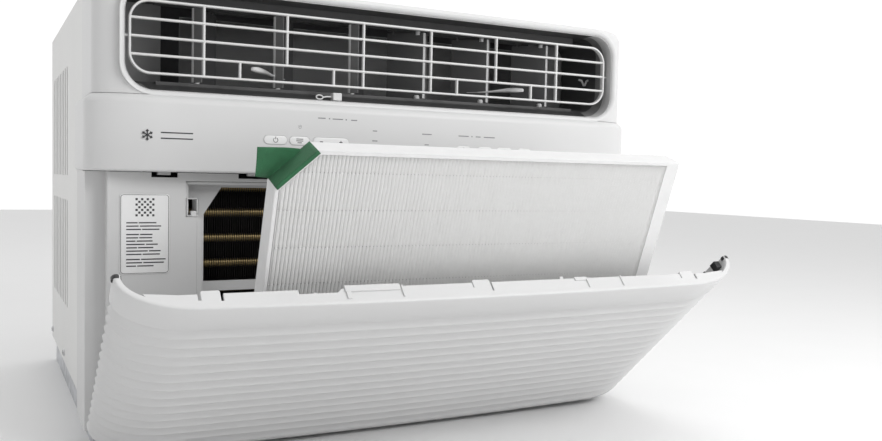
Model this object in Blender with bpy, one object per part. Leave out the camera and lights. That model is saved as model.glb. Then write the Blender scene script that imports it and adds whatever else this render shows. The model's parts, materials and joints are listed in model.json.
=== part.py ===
"""Window air conditioner, front panel hanging open and its pleated filter half lifted out.

Units: the numbers below are millimetres, scaled to metres when a mesh is made.
Frame: +Z up, the room side faces -Y, the origin is the middle of the base pan's underside.
"""

import math

import bmesh
import bpy
from mathutils import Matrix, Vector

MM = 0.001
GAP = 0.3  # between pieces that touch

# Overall size
HALF_WIDTH = 235.0
HEIGHT = 340.0
REAR_Y = 198.0
FRONT_Y = -194.0  # control fascia, at the middle
BOW = 1.9  # how far the front falls back on its way out to the corners
CORNER_ALONG, CORNER_DEEP = 50.0, 26.0  # half axes of the elliptical plan corners
SHELL_BACK_Y = -110.0  # where the plastic front meets the sheet metal
WALL = 2.5
SHEET = 1.5

# Heights of the front's three bands
FASCIA_Z = (202.8, 253.6)
BEZEL_Z = 256.8
OPENING_X, OPENING_Z = 209.9, (260.0, 332.5)
OPENING_RADIUS = 19.0
BEZEL_INSET = 5.0

# Air grille
GRID_Y, GRID_X, GRID_Z = -177.0, 206.8, (271.3, 324.0)
GRID_BAR, GRID_DEPTH, GRID_RADIUS = 2.0, 4.4, 15.0
INNER_VANE = 29.9
BAY = 62.3  # spacing of the vanes and of the grille's long uprights
SLOT_BAR_X = (54.6, 128.1)

# Vanes
VANE_Y, VANE_Z = -152.0, (269.6, 324.6)
VANE_FRONT, VANE_REAR = 6.4, 26.5
VANE_FLANGE = 8.9  # bent edge along the vane's front
LEVER_REACH, LEVER_Z = 38.0, 278.0
LEFT_AIM, RIGHT_AIM = 45.0, 52.0  # degrees away from straight ahead
CRANK_REACH = 22.0

# Intake face, its filter recess and the coil window
FACE_Y = -177.0
INTAKE_FOOT_Z = 17.5
RECESS_X, RECESS_Z = (-166.5, 178.0), (32.0, 196.5)
PLATE_STEP_X, PLATE_STEP_Z = -154.2, 170.4
RECESS_FLOOR_Y = -160.5
WINDOW_X, WINDOW_Z = (-150.0, 168.0), (54.0, 192.0)
WINDOW_CHAMFER = 20.0
LATCH_X, LATCH_HALF, LATCH_Z = 181.4, 9.2, (198.9, 203.3)
SIDE_CATCH_X = (-128.3, -101.0)

CORD_INLET = (233.7, -134.0, 36.0)  # in the right wall

# Control buttons: left, right, bottom and top edges
BUTTONS = {
    "power_button": (-114.2, -96.6, 224.8, 231.3),
    "mode_button": (-94.8, -79.2, 224.8, 231.3),
    "temperature_rocker": (-76.6, -47.9, 224.8, 231.3),
    "fan_button": (46.5, 59.8, 222.6, 229.1),
    "sleep_button": (66.7, 80.5, 222.6, 229.1),
    "timer_button": (85.1, 100.0, 222.6, 229.1),
    "eco_button": (106.0, 119.4, 222.6, 229.1),
}

# Front panel, written as it stands when closed, then swung open about its hinge
PANEL_OPEN = math.radians(48.0)
HINGE_Y, HINGE_Z = -173.7, 10.3
PANEL_INSET = 1.6
PANEL_TOP, PANEL_BOTTOM = 201.5, 13.0
PANEL_BACK_Y = -164.5
LEDGE_INSET, LEDGE_BACK_Y = 14.0, -180.0
RIB_TOP, RIB_PITCH, RIB_COUNT, RIB_DEEP = 178.6, 10.2, 15, 1.7

# Filter, written as it stands when closed, lifted by its carriage and leaned back at rest
FILTER_X = (-143.9, 163.1)
FILTER_HEIGHT, FILTER_DEEP, FILTER_CHAMFER = 127.0, 17.0, 24.0
FILTER_Y, FILTER_FOOT_Z = -172.7, 50.0
FILTER_PIVOT_RISE = 5.0
FILTER_LIFT = 96.6
FILTER_LEAN = math.radians(20.0)
PLEATS = 72

# Refrigeration and air moving parts
FAN_X, FAN_Z = -12.0, 150.0
COIL_X, COIL_Y, COIL_Z = (-160.0, 182.0), (-147.0, -112.0), (44.0, 212.0)
TUBE_TOP_Z, TUBE_PITCH, TUBE_ROWS, TUBE_RADIUS = 192.0, 19.4, 8, 3.5


# ---------------------------------------------------------------- materials

def material(name, colour, roughness=0.5, metallic=0.0):
    made = bpy.data.materials.get(name)
    if made is None:
        made = bpy.data.materials.new(name)
        made.use_nodes = True
        shader = made.node_tree.nodes["Principled BSDF"]
        shader.inputs["Base Color"].default_value = (*colour, 1.0)
        shader.inputs["Roughness"].default_value = roughness
        shader.inputs["Metallic"].default_value = metallic
    return made


PLASTIC = ("shell_plastic", (0.80, 0.80, 0.79), 0.42)
GREY_PLASTIC = ("intake_plastic", (0.55, 0.55, 0.55), 0.5)
GRILLE_PLASTIC = ("grille_plastic", (0.72, 0.72, 0.71), 0.4)
DARK_PLASTIC = ("duct_plastic", (0.06, 0.06, 0.06), 0.6)
VANE_PLASTIC = ("vane_plastic", (0.12, 0.12, 0.12), 0.5)
MEDIA = ("filter_media", (0.82, 0.82, 0.81), 0.85)
RIBBON = ("green_ribbon", (0.05, 0.19, 0.09), 0.75)
RUBBER = ("black_rubber", (0.03, 0.03, 0.03), 0.8)
FIN_METAL = ("fin_metal", (0.10, 0.09, 0.08), 0.45, 0.7)
COPPER = ("copper", (0.72, 0.38, 0.20), 0.35, 1.0)
GALVANISED = ("galvanised", (0.58, 0.59, 0.60), 0.45, 0.9)
PAINTED = ("painted_sheet", (0.74, 0.74, 0.72), 0.5)
BLACK_PAINT = ("black_paint", (0.04, 0.04, 0.045), 0.4)
FOAM = ("foam", (0.06, 0.06, 0.063), 0.9)
BOARD = ("circuit_board", (0.05, 0.22, 0.10), 0.5)
STEEL = ("steel", (0.6, 0.6, 0.6), 0.35, 1.0)
PAPER = ("label_paper", (0.86, 0.86, 0.85), 0.6)


# ---------------------------------------------------------------- mesh helpers

def place(name, mesh_edit, look, smooth=None, parent=None):
    """A named object from a bmesh in millimetres."""
    bmesh.ops.recalc_face_normals(mesh_edit, faces=mesh_edit.faces)
    bmesh.ops.scale(mesh_edit, vec=(MM, MM, MM), verts=mesh_edit.verts)
    mesh = bpy.data.meshes.new(name)
    mesh_edit.to_mesh(mesh)
    mesh_edit.free()
    if smooth is not None:
        mesh.shade_smooth()
        mesh.set_sharp_from_angle(angle=math.radians(smooth))
    made = bpy.data.objects.new(name, mesh)
    bpy.context.collection.objects.link(made)
    if look is not None:
        mesh.materials.append(material(*look))
    if parent is not None:
        hang(made, parent)
    return made


def hang(child, parent):
    """Parent a piece and keep it where it was modelled."""
    child.parent = parent
    child.matrix_parent_inverse = parent.matrix_world.inverted()


def pivot(name, where):
    """An empty on a joint's axis."""
    made = bpy.data.objects.new(name, None)
    bpy.context.collection.objects.link(made)
    made.location = Vector(where) * MM
    bpy.context.view_layer.update()
    return made


def loft(loops):
    """One closed solid through loops that all have the same number of points."""
    edit = bmesh.new()
    rings = [[edit.verts.new(point) for point in loop] for loop in loops]
    count = len(rings[0])
    for lower, upper in zip(rings, rings[1:]):
        for i in range(count):
            j = (i + 1) % count
            edit.faces.new((lower[i], lower[j], upper[j], upper[i]))
    edit.faces.new(list(reversed(rings[0])))
    edit.faces.new(rings[-1])
    return edit


def prism(outline, axis, start, end):
    """An outline pushed along an axis. The outline holds the other two coordinates, in X, Y, Z order."""
    def at(point, depth):
        spread = list(point)
        spread.insert("XYZ".index(axis), depth)
        return spread
    return loft([[at(point, start) for point in outline], [at(point, end) for point in outline]])


def box(x, y, z):
    return prism([(x[0], y[0]), (x[1], y[0]), (x[1], y[1]), (x[0], y[1])], "Z", *z)


def rounded(x, z, radius, steps=5):
    """A rounded rectangle's outline."""
    points = []
    corners = ((x[1], z[0], -90), (x[1], z[1], 0), (x[0], z[1], 90), (x[0], z[0], 180))
    for cx, cz, turn in corners:
        mx = cx - math.copysign(radius, cx - sum(x) / 2)
        mz = cz - math.copysign(radius, cz - sum(z) / 2)
        for step in range(steps + 1):
            angle = math.radians(turn + 90 * step / steps)
            points.append((mx + radius * math.cos(angle), mz + radius * math.sin(angle)))
    return points


def circle(cx, cz, radius, steps=24):
    return [
        (cx + radius * math.cos(math.tau * i / steps), cz + radius * math.sin(math.tau * i / steps))
        for i in range(steps)
    ]


def frame_ring(outer, inner, axis, start, end):
    """A hollow outline, such as a grille's rim. Both loops have the same number of points."""
    def at(point, depth):
        spread = list(point)
        spread.insert("XYZ".index(axis), depth)
        return spread
    edit = bmesh.new()
    loops = [
        [edit.verts.new(at(point, depth)) for point in outline]
        for outline, depth in ((outer, start), (outer, end), (inner, end), (inner, start))
    ]
    count = len(outer)
    for k in range(4):
        first, second = loops[k], loops[(k + 1) % 4]
        for i in range(count):
            j = (i + 1) % count
            edit.faces.new((first[i], first[j], second[j], second[i]))
    return edit


def turned(profile, axis, centre, steps=24):
    """A solid of revolution from (radius, along) pairs, first and last on or off the axis."""
    others = [i for i in range(3) if i != "XYZ".index(axis)]
    edit = bmesh.new()
    rings = []
    for radius, along in profile:
        ring = []
        for i in range(steps if radius > 0 else 1):
            angle = math.tau * i / steps
            point = list(centre)
            point["XYZ".index(axis)] += along
            point[others[0]] += radius * math.cos(angle)
            point[others[1]] += radius * math.sin(angle)
            ring.append(edit.verts.new(point))
        rings.append(ring)
    for lower, upper in zip(rings, rings[1:]):
        for i in range(steps):
            j = (i + 1) % steps
            corners = [
                lower[i % len(lower)], lower[j % len(lower)], upper[j % len(upper)], upper[i % len(upper)],
            ]
            edit.faces.new(list(dict.fromkeys(corners)))
    for ring in (rings[0], rings[-1]):
        if len(ring) > 1:
            edit.faces.new(ring)
    return edit


def rod(axis, centre, radius, start, end, steps=16):
    return turned([(radius, start), (radius, end)], axis, centre, steps)


def tool(edit):
    """A hidden solid that a Boolean reads."""
    made = place("tool", edit, None)
    made.hide_render = True
    made.display_type = "WIRE"
    return made


def combine(target, edit, operation):
    """Add to a piece, or cut it, with a Boolean that stays on the object."""
    other = tool(edit)
    if target.parent is not None:
        hang(other, target.parent)
    step = target.modifiers.new(operation.lower(), "BOOLEAN")
    step.operation = operation
    step.solver = "EXACT"
    step.object = other


def cut(target, edit):
    combine(target, edit, "DIFFERENCE")


def join(target, edit):
    combine(target, edit, "UNION")


def tube(name, route, radius, look, smooth_turns=3):
    """A pipe along points, its bends rounded by arcs of a Catmull curve."""
    points = [Vector(point) for point in route]
    path = []
    for i in range(len(points) - 1):
        before, here = points[max(i - 1, 0)], points[i]
        there, after = points[i + 1], points[min(i + 2, len(points) - 1)]
        for step in range(smooth_turns):
            t = step / smooth_turns
            path.append(
                0.5 * (2 * here + (there - before) * t
                       + (2 * before - 5 * here + 4 * there - after) * t ** 2
                       + (3 * here - before - 3 * there + after) * t ** 3)
            )
    path.append(points[-1])
    curve = bpy.data.curves.new(name, "CURVE")
    curve.dimensions = "3D"
    curve.bevel_depth = radius * MM
    curve.bevel_resolution = 2
    curve.use_fill_caps = True
    line = curve.splines.new("POLY")
    line.points.add(len(path) - 1)
    for target, point in zip(line.points, path):
        target.co = (*(point * MM), 1.0)
    made = bpy.data.objects.new(name, curve)
    bpy.context.collection.objects.link(made)
    curve.materials.append(material(*look))
    return made


# ---------------------------------------------------------------- plan of the front

def plan_curve(inset, back_y, front_steps=8, corner_steps=6):
    """The front's plan, from the left side round to the right, pushed in by inset."""
    half = HALF_WIDTH - inset
    along, deep = CORNER_ALONG - inset, CORNER_DEEP - inset
    start = half - along
    front = FRONT_Y + inset

    def bow(x):
        return front + BOW * (x / (HALF_WIDTH - CORNER_ALONG)) ** 2

    edge = bow(start)
    right = []
    for i in range(front_steps // 2 + 1):
        x = start * i / (front_steps // 2)
        right.append((x, bow(x)))
    for i in range(1, corner_steps + 1):
        angle = math.radians(90 * i / corner_steps)
        right.append((start + along * math.sin(angle), edge + deep * (1 - math.cos(angle))))
    right.append((half, back_y))
    left = [(-x, y) for x, y in reversed(right[1:])]
    return left + right


def sweep(profile, back_y, front_steps=8, corner_steps=6):
    """A shell wrapped round the plan: profile is a closed loop of (inset, z)."""
    edit = bmesh.new()
    rows = [
        [edit.verts.new((x, y, z)) for x, y in plan_curve(inset, back_y, front_steps, corner_steps)]
        for inset, z in profile
    ]
    count = len(rows)
    for k in range(count):
        first, second = rows[k], rows[(k + 1) % count]
        for i in range(len(first) - 1):
            edit.faces.new((first[i], first[i + 1], second[i + 1], second[i]))
    edit.faces.new([row[0] for row in rows])
    edit.faces.new([row[-1] for row in reversed(rows)])
    return edit


def face_y(x, inset=0.0):
    """Where the bowed front face is at x."""
    return FRONT_Y + inset + BOW * (x / (HALF_WIDTH - CORNER_ALONG)) ** 2


# ---------------------------------------------------------------- housing

def front_bezel():
    """Upper moulding round the air outlet, with the top of the housing."""
    outer = [(5.0, BEZEL_Z), (5.0, 330.0), (6.2, 335.5), (9.0, 338.8), (14.0, HEIGHT)]
    inner = [(7.5, BEZEL_Z - 4), (7.5, 329.0), (8.5, 334.0), (11.0, 336.6), (15.0, HEIGHT - WALL)]
    made = place(
        "front_bezel",
        loft([[(x, y, z) for x, y in plan_curve(inset, SHELL_BACK_Y)] for inset, z in outer]),
        PLASTIC, smooth=35,
    )
    cut(made, loft([[(x, y, z) for x, y in plan_curve(inset, SHELL_BACK_Y + 20)] for inset, z in inner]))
    opening = rounded((-OPENING_X, OPENING_X), OPENING_Z, OPENING_RADIUS)
    cut(made, prism(opening, "Y", FRONT_Y - 10, GRID_Y))


def control_fascia():
    """Band that carries the controls, with an opening for each button."""
    low, high = FASCIA_Z
    profile = [
        (16.5, low), (1.2, low), (0.0, low + 1.5), (0.0, high - 1.0), (0.8, high),
        (BEZEL_INSET, BEZEL_Z - GAP),
        (BEZEL_INSET + 2.5, BEZEL_Z - GAP), (WALL, high - 2.0), (WALL, low + WALL), (16.5, low + WALL),
    ]
    made = place("control_fascia", sweep(profile, SHELL_BACK_Y), PLASTIC, smooth=35)
    for left, right, low_z, high_z in BUTTONS.values():
        hole = rounded(
            (left - 0.4, right + 0.4), (low_z - 0.4, high_z + 0.4), (high_z - low_z) / 2 + 0.39, steps=4)
        cut(made, prism(hole, "Y", FRONT_Y - 5, FRONT_Y + 8))


def buttons():
    """Pill buttons, each with a flange behind the fascia that keeps it in."""
    for name, (left, right, low, high) in BUTTONS.items():
        middle = (left + right) / 2
        front = face_y(middle)
        base = pivot(name + "_guide", (middle, front + 3.2, (low + high) / 2))
        tall = high - low
        cap = rounded((left, right), (low, high), tall / 2 - 0.01, steps=4)
        made = place(name, prism(cap, "Y", front - 0.6, front + 4.0), PLASTIC, 35, base)
        join(made, box((left + 1, right - 1), (front + 3.6, front + 4.8), (low - 1.6, high + 1.6)))


def control_board():
    """Circuit board behind the fascia, clear of the buttons' travel."""
    place("control_board", box((-126, 128), (-186.6, -185.0), (212, 246)), BOARD)


def intake_frame():
    """Flat face behind the closed panel, with the side walls of the lower housing."""
    outer = [(-233.4, SHELL_BACK_Y), (-233.4, -163.8), (-220.0, -163.8), (-220.0, FACE_Y)]
    inner = [(-230.9, SHELL_BACK_Y), (-230.9, -161.3), (-217.5, -161.3), (-217.5, FACE_Y + WALL)]
    ring = outer + [(-x, y) for x, y in reversed(outer)]
    ring += inner_to_right(inner)
    made = place("intake_frame", prism(ring, "Z", INTAKE_FOOT_Z, 202.4), PLASTIC, smooth=35)
    left, right = RECESS_X
    low, high = RECESS_Z
    hole = [
        (left, high), (left, PLATE_STEP_Z), (PLATE_STEP_X - 3, PLATE_STEP_Z),
        (PLATE_STEP_X, PLATE_STEP_Z - 3), (PLATE_STEP_X, low), (right, low), (right, high),
    ]
    cut(made, prism(hole, "Y", FACE_Y - 5, FACE_Y + 8))
    for middle in (-LATCH_X, 0.0, LATCH_X):
        cut(made, box((middle - LATCH_HALF, middle + LATCH_HALF), (FACE_Y - 5, FACE_Y + 8), LATCH_Z))
    cut(made, box(SIDE_CATCH_X, (FACE_Y - 5, FACE_Y + 8), LATCH_Z))
    for side in (-1, 1):
        cut(made, box(sorted((side * 208.5, side * 224.0)), (FACE_Y - 5, -170.0), (0.0, 25.0)))
    cut(made, rod("X", CORD_INLET, 8.3, -8, 4))


def inner_to_right(inner):
    """The inside of a mirrored outline, walked back from right to left."""
    return [(-x, y) for x, y in inner] + list(reversed(inner))


def filter_recess():
    """Tray that the filter sits in, with the window onto the coil and its middle rib."""
    left, right = RECESS_X[0] + GAP, RECESS_X[1] - GAP
    low, high = RECESS_Z[0] + GAP, RECESS_Z[1] - GAP
    back = RECESS_FLOOR_Y + WALL
    block = box((left, right), (FACE_Y + WALL + GAP, back), (low, high))
    made = place("filter_recess", block, GREY_PLASTIC)
    cut(made, box((left + 2, right - 2), (FACE_Y - 5, RECESS_FLOOR_Y), (low + 2, high - 2)))
    (x0, x1), (z0, z1) = WINDOW_X, WINDOW_Z
    window = [(x0, z0), (x1, z0), (x1, z1), (x0 + 13, z1), (x0, z1 - WINDOW_CHAMFER)]
    cut(made, prism(window, "Y", RECESS_FLOOR_Y - 5, back + 5))
    join(made, box((x0 - 3, x1 + 3), (RECESS_FLOOR_Y, back), (113.8, 121.2)))
    cut(made, box((left + 3.5, left + 12.2), (RECESS_FLOOR_Y - 5, back + 5), (171.5, 183.5)))


def latch_catches():
    """Hooks behind the slots that hold the closed panel's tabs."""
    for name, middle in (("left", -LATCH_X), ("middle", 0.0), ("right", LATCH_X)):
        place(
            f"latch_catch_{name}",
            box((middle - 4.6, middle + 4.6), (FACE_Y + WALL + GAP, FACE_Y + 9), (200.6, 204.4)),
            PLASTIC,
        )


def info_label():
    """Printed label on the left of the intake face."""
    outline = rounded((-212.0, -178.0), (130.0, 187.0), 2.5, steps=3)
    place("info_label", prism(outline, "Y", FACE_Y - 0.6, FACE_Y - GAP), PAPER)


def base_pan():
    """Pressed steel tray under everything."""
    made = place("base_pan", box((-226, 226), (-150, 190), (0, 24)), GALVANISED)
    cut(made, box((-226 + SHEET, 226 - SHEET), (-150 + SHEET, 190 - SHEET), (SHEET, 30)))
    cut(made, rod("Y", (190.0, 0.0, 8.0), 5.3, 170, 200))


def drain_plug():
    """Rubber plug in the rear wall of the pan."""
    profile = [(0, -3), (4.9, -3), (4.9, 1.8), (7.5, 1.8), (7.5, 4.5), (0, 4.5)]
    place("drain_plug", turned(profile, "Y", (190.0, 188.5, 8.0), 16), RUBBER, smooth=35)


def cabinet():
    """Sheet metal cover, folded over the top and down both sides, with side vents."""
    half, top = 229.5, HEIGHT - WALL - GAP
    outer = [(-half, 25.0), (-half, top), (half, top), (half, 25.0)]
    inside, ceiling = half - SHEET, top - SHEET
    inner = [(inside, 25.0), (inside, ceiling), (-inside, ceiling), (-inside, 25.0)]
    made = place("cabinet", prism(outer + inner, "Y", SHELL_BACK_Y + GAP, REAR_Y), PAINTED)
    for row in range(2):
        for i in range(9):
            y = 18 + i * 18
            z = 80 + row * 118
            cut(made, box((-240, 240), (y, y + 6), (z, z + 96)))


def rear_guard():
    """Frame and rails across the condenser's back."""
    outer = [(-227, 25), (227, 25), (227, 335), (-227, 335)]
    inner = [(-204, 38), (204, 38), (204, 318), (-204, 318)]
    made = place("rear_guard", frame_ring(outer, inner, "Y", 192.0, 193.5), PAINTED)
    for i in range(6):
        z = 38 + 280 * (i + 1) / 7
        join(made, box((-206, 206), (192.2, 193.3), (z - 2, z + 2)))


def bulkhead():
    """Partition between the room side and the outside, with the shaft's hole."""
    made = place("bulkhead", box((-223, 223), (-20.0, -18.5), (SHEET + GAP, 334)), GALVANISED)
    cut(made, rod("Y", (FAN_X, -19, FAN_Z), 14, -10, 10, 20))


# ---------------------------------------------------------------- air outlet

def air_duct():
    """Dark outlet duct from the blower to the opening."""
    outer = rounded((-213.5, 213.5), (256.6, 335.4), 21.0)
    inner = rounded((-211.5, 211.5), (258.6, 333.4), 19.0)
    place("air_duct", frame_ring(outer, inner, "Y", -178.0, -106.0), DARK_PLASTIC, smooth=35)


def vane_rails():
    """Strips above and below the vanes that take their pins."""
    for name, low, high in (("lower", 259.0, 268.6), ("upper", 325.6, 333.1)):
        made = place(f"vane_rail_{name}", box((-185, 185), (-159.0, -145.0), (low, high)), DARK_PLASTIC)
        for x in vane_places():
            cut(made, rod("Z", (x, VANE_Y, 0), 2.4, low - 5, high + 5, 12))


def vane_places():
    right = [INNER_VANE + BAY * i for i in range(3)]
    return [-x for x in reversed(right)] + right


def louver_grid():
    """Tilting grille: a round-cornered rim, cross bars, uprights and two lever slots."""
    (low, high), half = GRID_Z, GRID_X
    outer = rounded((-half, half), (low, high), GRID_RADIUS)
    inner = rounded(
        (-half + GRID_BAR, half - GRID_BAR), (low + GRID_BAR, high - GRID_BAR), GRID_RADIUS - GRID_BAR)
    near, far = GRID_Y - GRID_DEPTH / 2, GRID_Y + GRID_DEPTH / 2
    base = pivot("grid_axis", (0, GRID_Y, sum(GRID_Z) / 2))
    made = place("louver_grid", frame_ring(outer, inner, "Y", near, far), GRILLE_PLASTIC, 35, base)
    pitch = (high - low - GRID_BAR) / 4
    levels = [low + GRID_BAR / 2 + pitch * i for i in range(5)]
    thin = GRID_BAR / 2
    for z in levels[1:4]:
        join(made, box((-half + 1, half - 1), (near + 0.3, far - 0.3), (z - thin, z + thin)))
    for x in vane_places()[3:]:
        foot = levels[1] if x == INNER_VANE + BAY else levels[0]
        for side in (-1, 1):
            upright = box((side * x - thin, side * x + thin), (near + 0.5, far - 0.5), (foot, high - 1))
            join(made, upright)
    for x in SLOT_BAR_X:
        for side in (-1, 1):
            short = box((side * x - thin, side * x + thin), (near + 0.5, far - 0.5), levels[:2])
            join(made, short)
    for side in (-1, 1):
        join(made, rod("X", (side * 208.4, GRID_Y, sum(GRID_Z) / 2), 1.8, -2.4, 2.4, 12))


def vane(name, x, aim, lever):
    """Upright vane on two pins, its front edge bent over, with a finger lever on each group's lead."""
    base = pivot(name + "_pin", (x, VANE_Y, 0))
    low, high = VANE_Z
    blade = [
        (-0.5, VANE_REAR), (-1.6, 0), (-1.0, 1.2 - VANE_FRONT), (0.2, -VANE_FRONT), (VANE_FLANGE, -VANE_FRONT),
        (VANE_FLANGE, 1.4 - VANE_FRONT), (1.4, 1.6 - VANE_FRONT), (1.6, 0), (0.5, VANE_REAR),
    ]
    made = place(name, prism(blade, "Z", low, high), VANE_PLASTIC)
    join(made, rod("Z", (0, 0, 0), 2.0, low - 9, high + 7, 12))
    join(made, rod("Z", (0, CRANK_REACH, 0), 1.4, high - 1, high + 4.4, 10))
    if lever:
        beak = [(-2.2, -2), (-4.4, -LEVER_REACH + 6), (-2.6, -LEVER_REACH), (2.6, -LEVER_REACH),
                (4.4, -LEVER_REACH + 6), (2.2, -2)]
        join(made, prism(beak, "Z", LEVER_Z - 1.5, LEVER_Z + 1.5))
    turn = Matrix.Rotation(math.radians(aim), 4, "Z")
    made.matrix_world = Matrix.Translation((x * MM, VANE_Y * MM, 0)) @ turn
    for step in made.modifiers:
        step.object.matrix_world = made.matrix_world
    bpy.context.view_layer.update()
    hang(made, base)
    for step in made.modifiers:
        hang(step.object, base)


def vanes():
    for i, x in enumerate(vane_places()):
        aim = -LEFT_AIM if i < 3 else RIGHT_AIM
        vane(f"vane_{i + 1}", x, aim, i in (1, 4))


def vane_links():
    """Bars that tie each group of three vanes together at their cranks."""
    places = vane_places()
    for name, group, aim in (("left", places[:3], -LEFT_AIM), ("right", places[3:], RIGHT_AIM)):
        turn = math.radians(aim)
        cranks = [(x - CRANK_REACH * math.sin(turn), VANE_Y + CRANK_REACH * math.cos(turn)) for x in group]
        y = cranks[0][1]
        low, high = VANE_Z[1] + 1.2, VANE_Z[1] + 3.4
        base = pivot(f"link_{name}_crank", (*cranks[1], 0))
        outline = rounded((cranks[0][0] - 4.5, cranks[2][0] + 4.5), (y - 4, y + 4), 3.9, steps=3)
        made = place(f"vane_link_{name}", prism(outline, "Z", low, high), DARK_PLASTIC, parent=base)
        for cx, cy in cranks:
            cut(made, rod("Z", (cx, cy, 0), 1.75, low - 2, high + 2, 10))


def outlet_sensor():
    """Small air sensor in its clip on the outlet's lower edge."""
    made = place("outlet_sensor", box((-55.5, -48.5), (-177.6, -171.0), (259.0, 266.4)), PLASTIC)
    join(made, rod("X", (-60.0, -174.0, 263.0), 1.5, -7, 6, 10))


# ---------------------------------------------------------------- front panel

def panel_profile():
    """Closed section of the panel: ledge, fluted face, bottom roll and plain inside."""
    points = [(LEDGE_INSET, PANEL_TOP - 2.4), (LEDGE_INSET, PANEL_TOP), (3.4, PANEL_TOP),
              (PANEL_INSET + 0.4, PANEL_TOP - 0.8), (PANEL_INSET, PANEL_TOP - 2.4)]
    z = RIB_TOP
    for _ in range(RIB_COUNT):
        points += [(PANEL_INSET, z + 0.5), (PANEL_INSET + RIB_DEEP, z - 0.5),
                   (PANEL_INSET + RIB_DEEP * 0.72, z - RIB_PITCH * 0.55)]
        z -= RIB_PITCH
    points += [(PANEL_INSET, z + 2.0), (3.4, 19.0), (7.0, 14.6), (12.0, PANEL_BOTTOM), (17.0, PANEL_BOTTOM)]
    points += [(17.0, PANEL_BOTTOM + WALL), (12.6, PANEL_BOTTOM + WALL), (8.6, 17.2), (6.1, 20.4)]
    points += [(PANEL_INSET + RIB_DEEP + 1.6, 28.0), (PANEL_INSET + RIB_DEEP + 1.6, PANEL_TOP - 2.4)]
    return points


def front_panel(base):
    """Fluted intake panel with its top ledge, latch tabs and hinge ears."""
    made = place("front_panel", sweep(panel_profile(), PANEL_BACK_Y, 6, 6), PLASTIC, smooth=28)
    for middle in (-LATCH_X, 0.0, LATCH_X):
        tab = box((middle - 6, middle + 6), (-184.0, FACE_Y - 0.4), (PANEL_TOP - 2.2, PANEL_TOP - 0.2))
        join(made, tab)
    for side in (-1, 1):
        ear = [(-180.0, 13.8), (-180.0, 9.5), (-176.0, 5.8), (-171.5, 5.8), (-168.9, 9.0),
               (-168.9, 12.0), (-171.0, 15.0), (-174.0, 15.2)]
        join(made, prism(ear, "X", side * 206 - 2, side * 206 + 2))
        cut(made, rod("X", (side * 206, HINGE_Y, HINGE_Z), 2.3, -6, 6, 12))
        cut(made, box(sorted((side * 208.4, side * 229.6)), (HINGE_Y - 4.6, -150.0), (0.0, 16.0)))
    cut(made, box(SIDE_CATCH_X, (-184.5, -170.0), (PANEL_TOP - 4, PANEL_TOP + 4)))
    for side in (-1, 1):
        strip = sorted((side * 190.0, side * 229.6))
        cut(made, box(strip, (LEDGE_BACK_Y, -150.0), (PANEL_TOP - 4, PANEL_TOP + 4)))
    swing(made, base)


def swing(made, base):
    """Hang a piece modelled on the closed panel, and its tools, on the panel's pivot."""
    hang(made, base)
    for step in made.modifiers:
        if step.type == "BOOLEAN":
            hang(step.object, base)


def panel_fittings(base):
    """Bumpers and end clips in the panel's corners, and the rails the filter carriage runs in."""
    clip = box((220.9, 226.3), (-172.4, -166.4), (178.0, 197.5))
    swing(place("panel_clip", clip, BLACK_PAINT), base)
    for name, side in (("left", -1), ("right", 1)):
        rail = box((side * 140 - 2.5, side * 140 + 2.5), (-187.4, -185.7), (31.0, 172.0))
        swing(place(f"carriage_rail_{name}", rail, PLASTIC), base)


def hinge_pins():
    """Pins through the panel's ears, held by brackets under the intake face."""
    for name, side in (("left", -1), ("right", 1)):
        arm = [(HINGE_Y, 13.6), (HINGE_Y - 2.4, 12.6), (HINGE_Y - 3.4, HINGE_Z), (HINGE_Y - 2.4, 8.0),
               (HINGE_Y, 7.0), (-158.0, 7.0), (-158.0, INTAKE_FOOT_Z - GAP), (-164.0, INTAKE_FOOT_Z - GAP),
               (-166.0, 13.6)]
        made = place(
            f"hinge_bracket_{name}", prism(arm, "X", side * 212.2 - 2.8, side * 212.2 + 2.8), GREY_PLASTIC)
        join(made, rod("X", (side * 206, HINGE_Y, HINGE_Z), 2.0, *sorted((-4.4 * side, 6.0 * side)), 12))


# ---------------------------------------------------------------- filter

def filter_outline(grow=0.0):
    """The filter's front outline as it stands closed, with the cut corner for the ribbon."""
    x0, x1 = FILTER_X[0] - grow, FILTER_X[1] + grow
    z0, z1 = FILTER_FOOT_Z - grow, FILTER_FOOT_Z + FILTER_HEIGHT + grow
    corner = FILTER_CHAMFER + grow * 0.6
    return [(x0, z0), (x1, z0), (x1, z1), (x0 + corner, z1), (x0, z1 - corner)]


def filter_frame(base):
    """Stiff card border round the pleats, with pins at its lower corners."""
    near, far = FILTER_Y - FILTER_DEEP / 2, FILTER_Y + FILTER_DEEP / 2
    border = frame_ring(filter_outline(), filter_outline(-1.6), "Y", near, far)
    made = place("filter_frame", border, MEDIA)
    z = FILTER_FOOT_Z + FILTER_PIVOT_RISE
    for x, along in ((FILTER_X[0], (-4.4, 1.0)), (FILTER_X[1], (-1.0, 4.4))):
        join(made, rod("X", (x, FILTER_Y, z), 2.0, *along, 12))
    swing(made, base)


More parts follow.
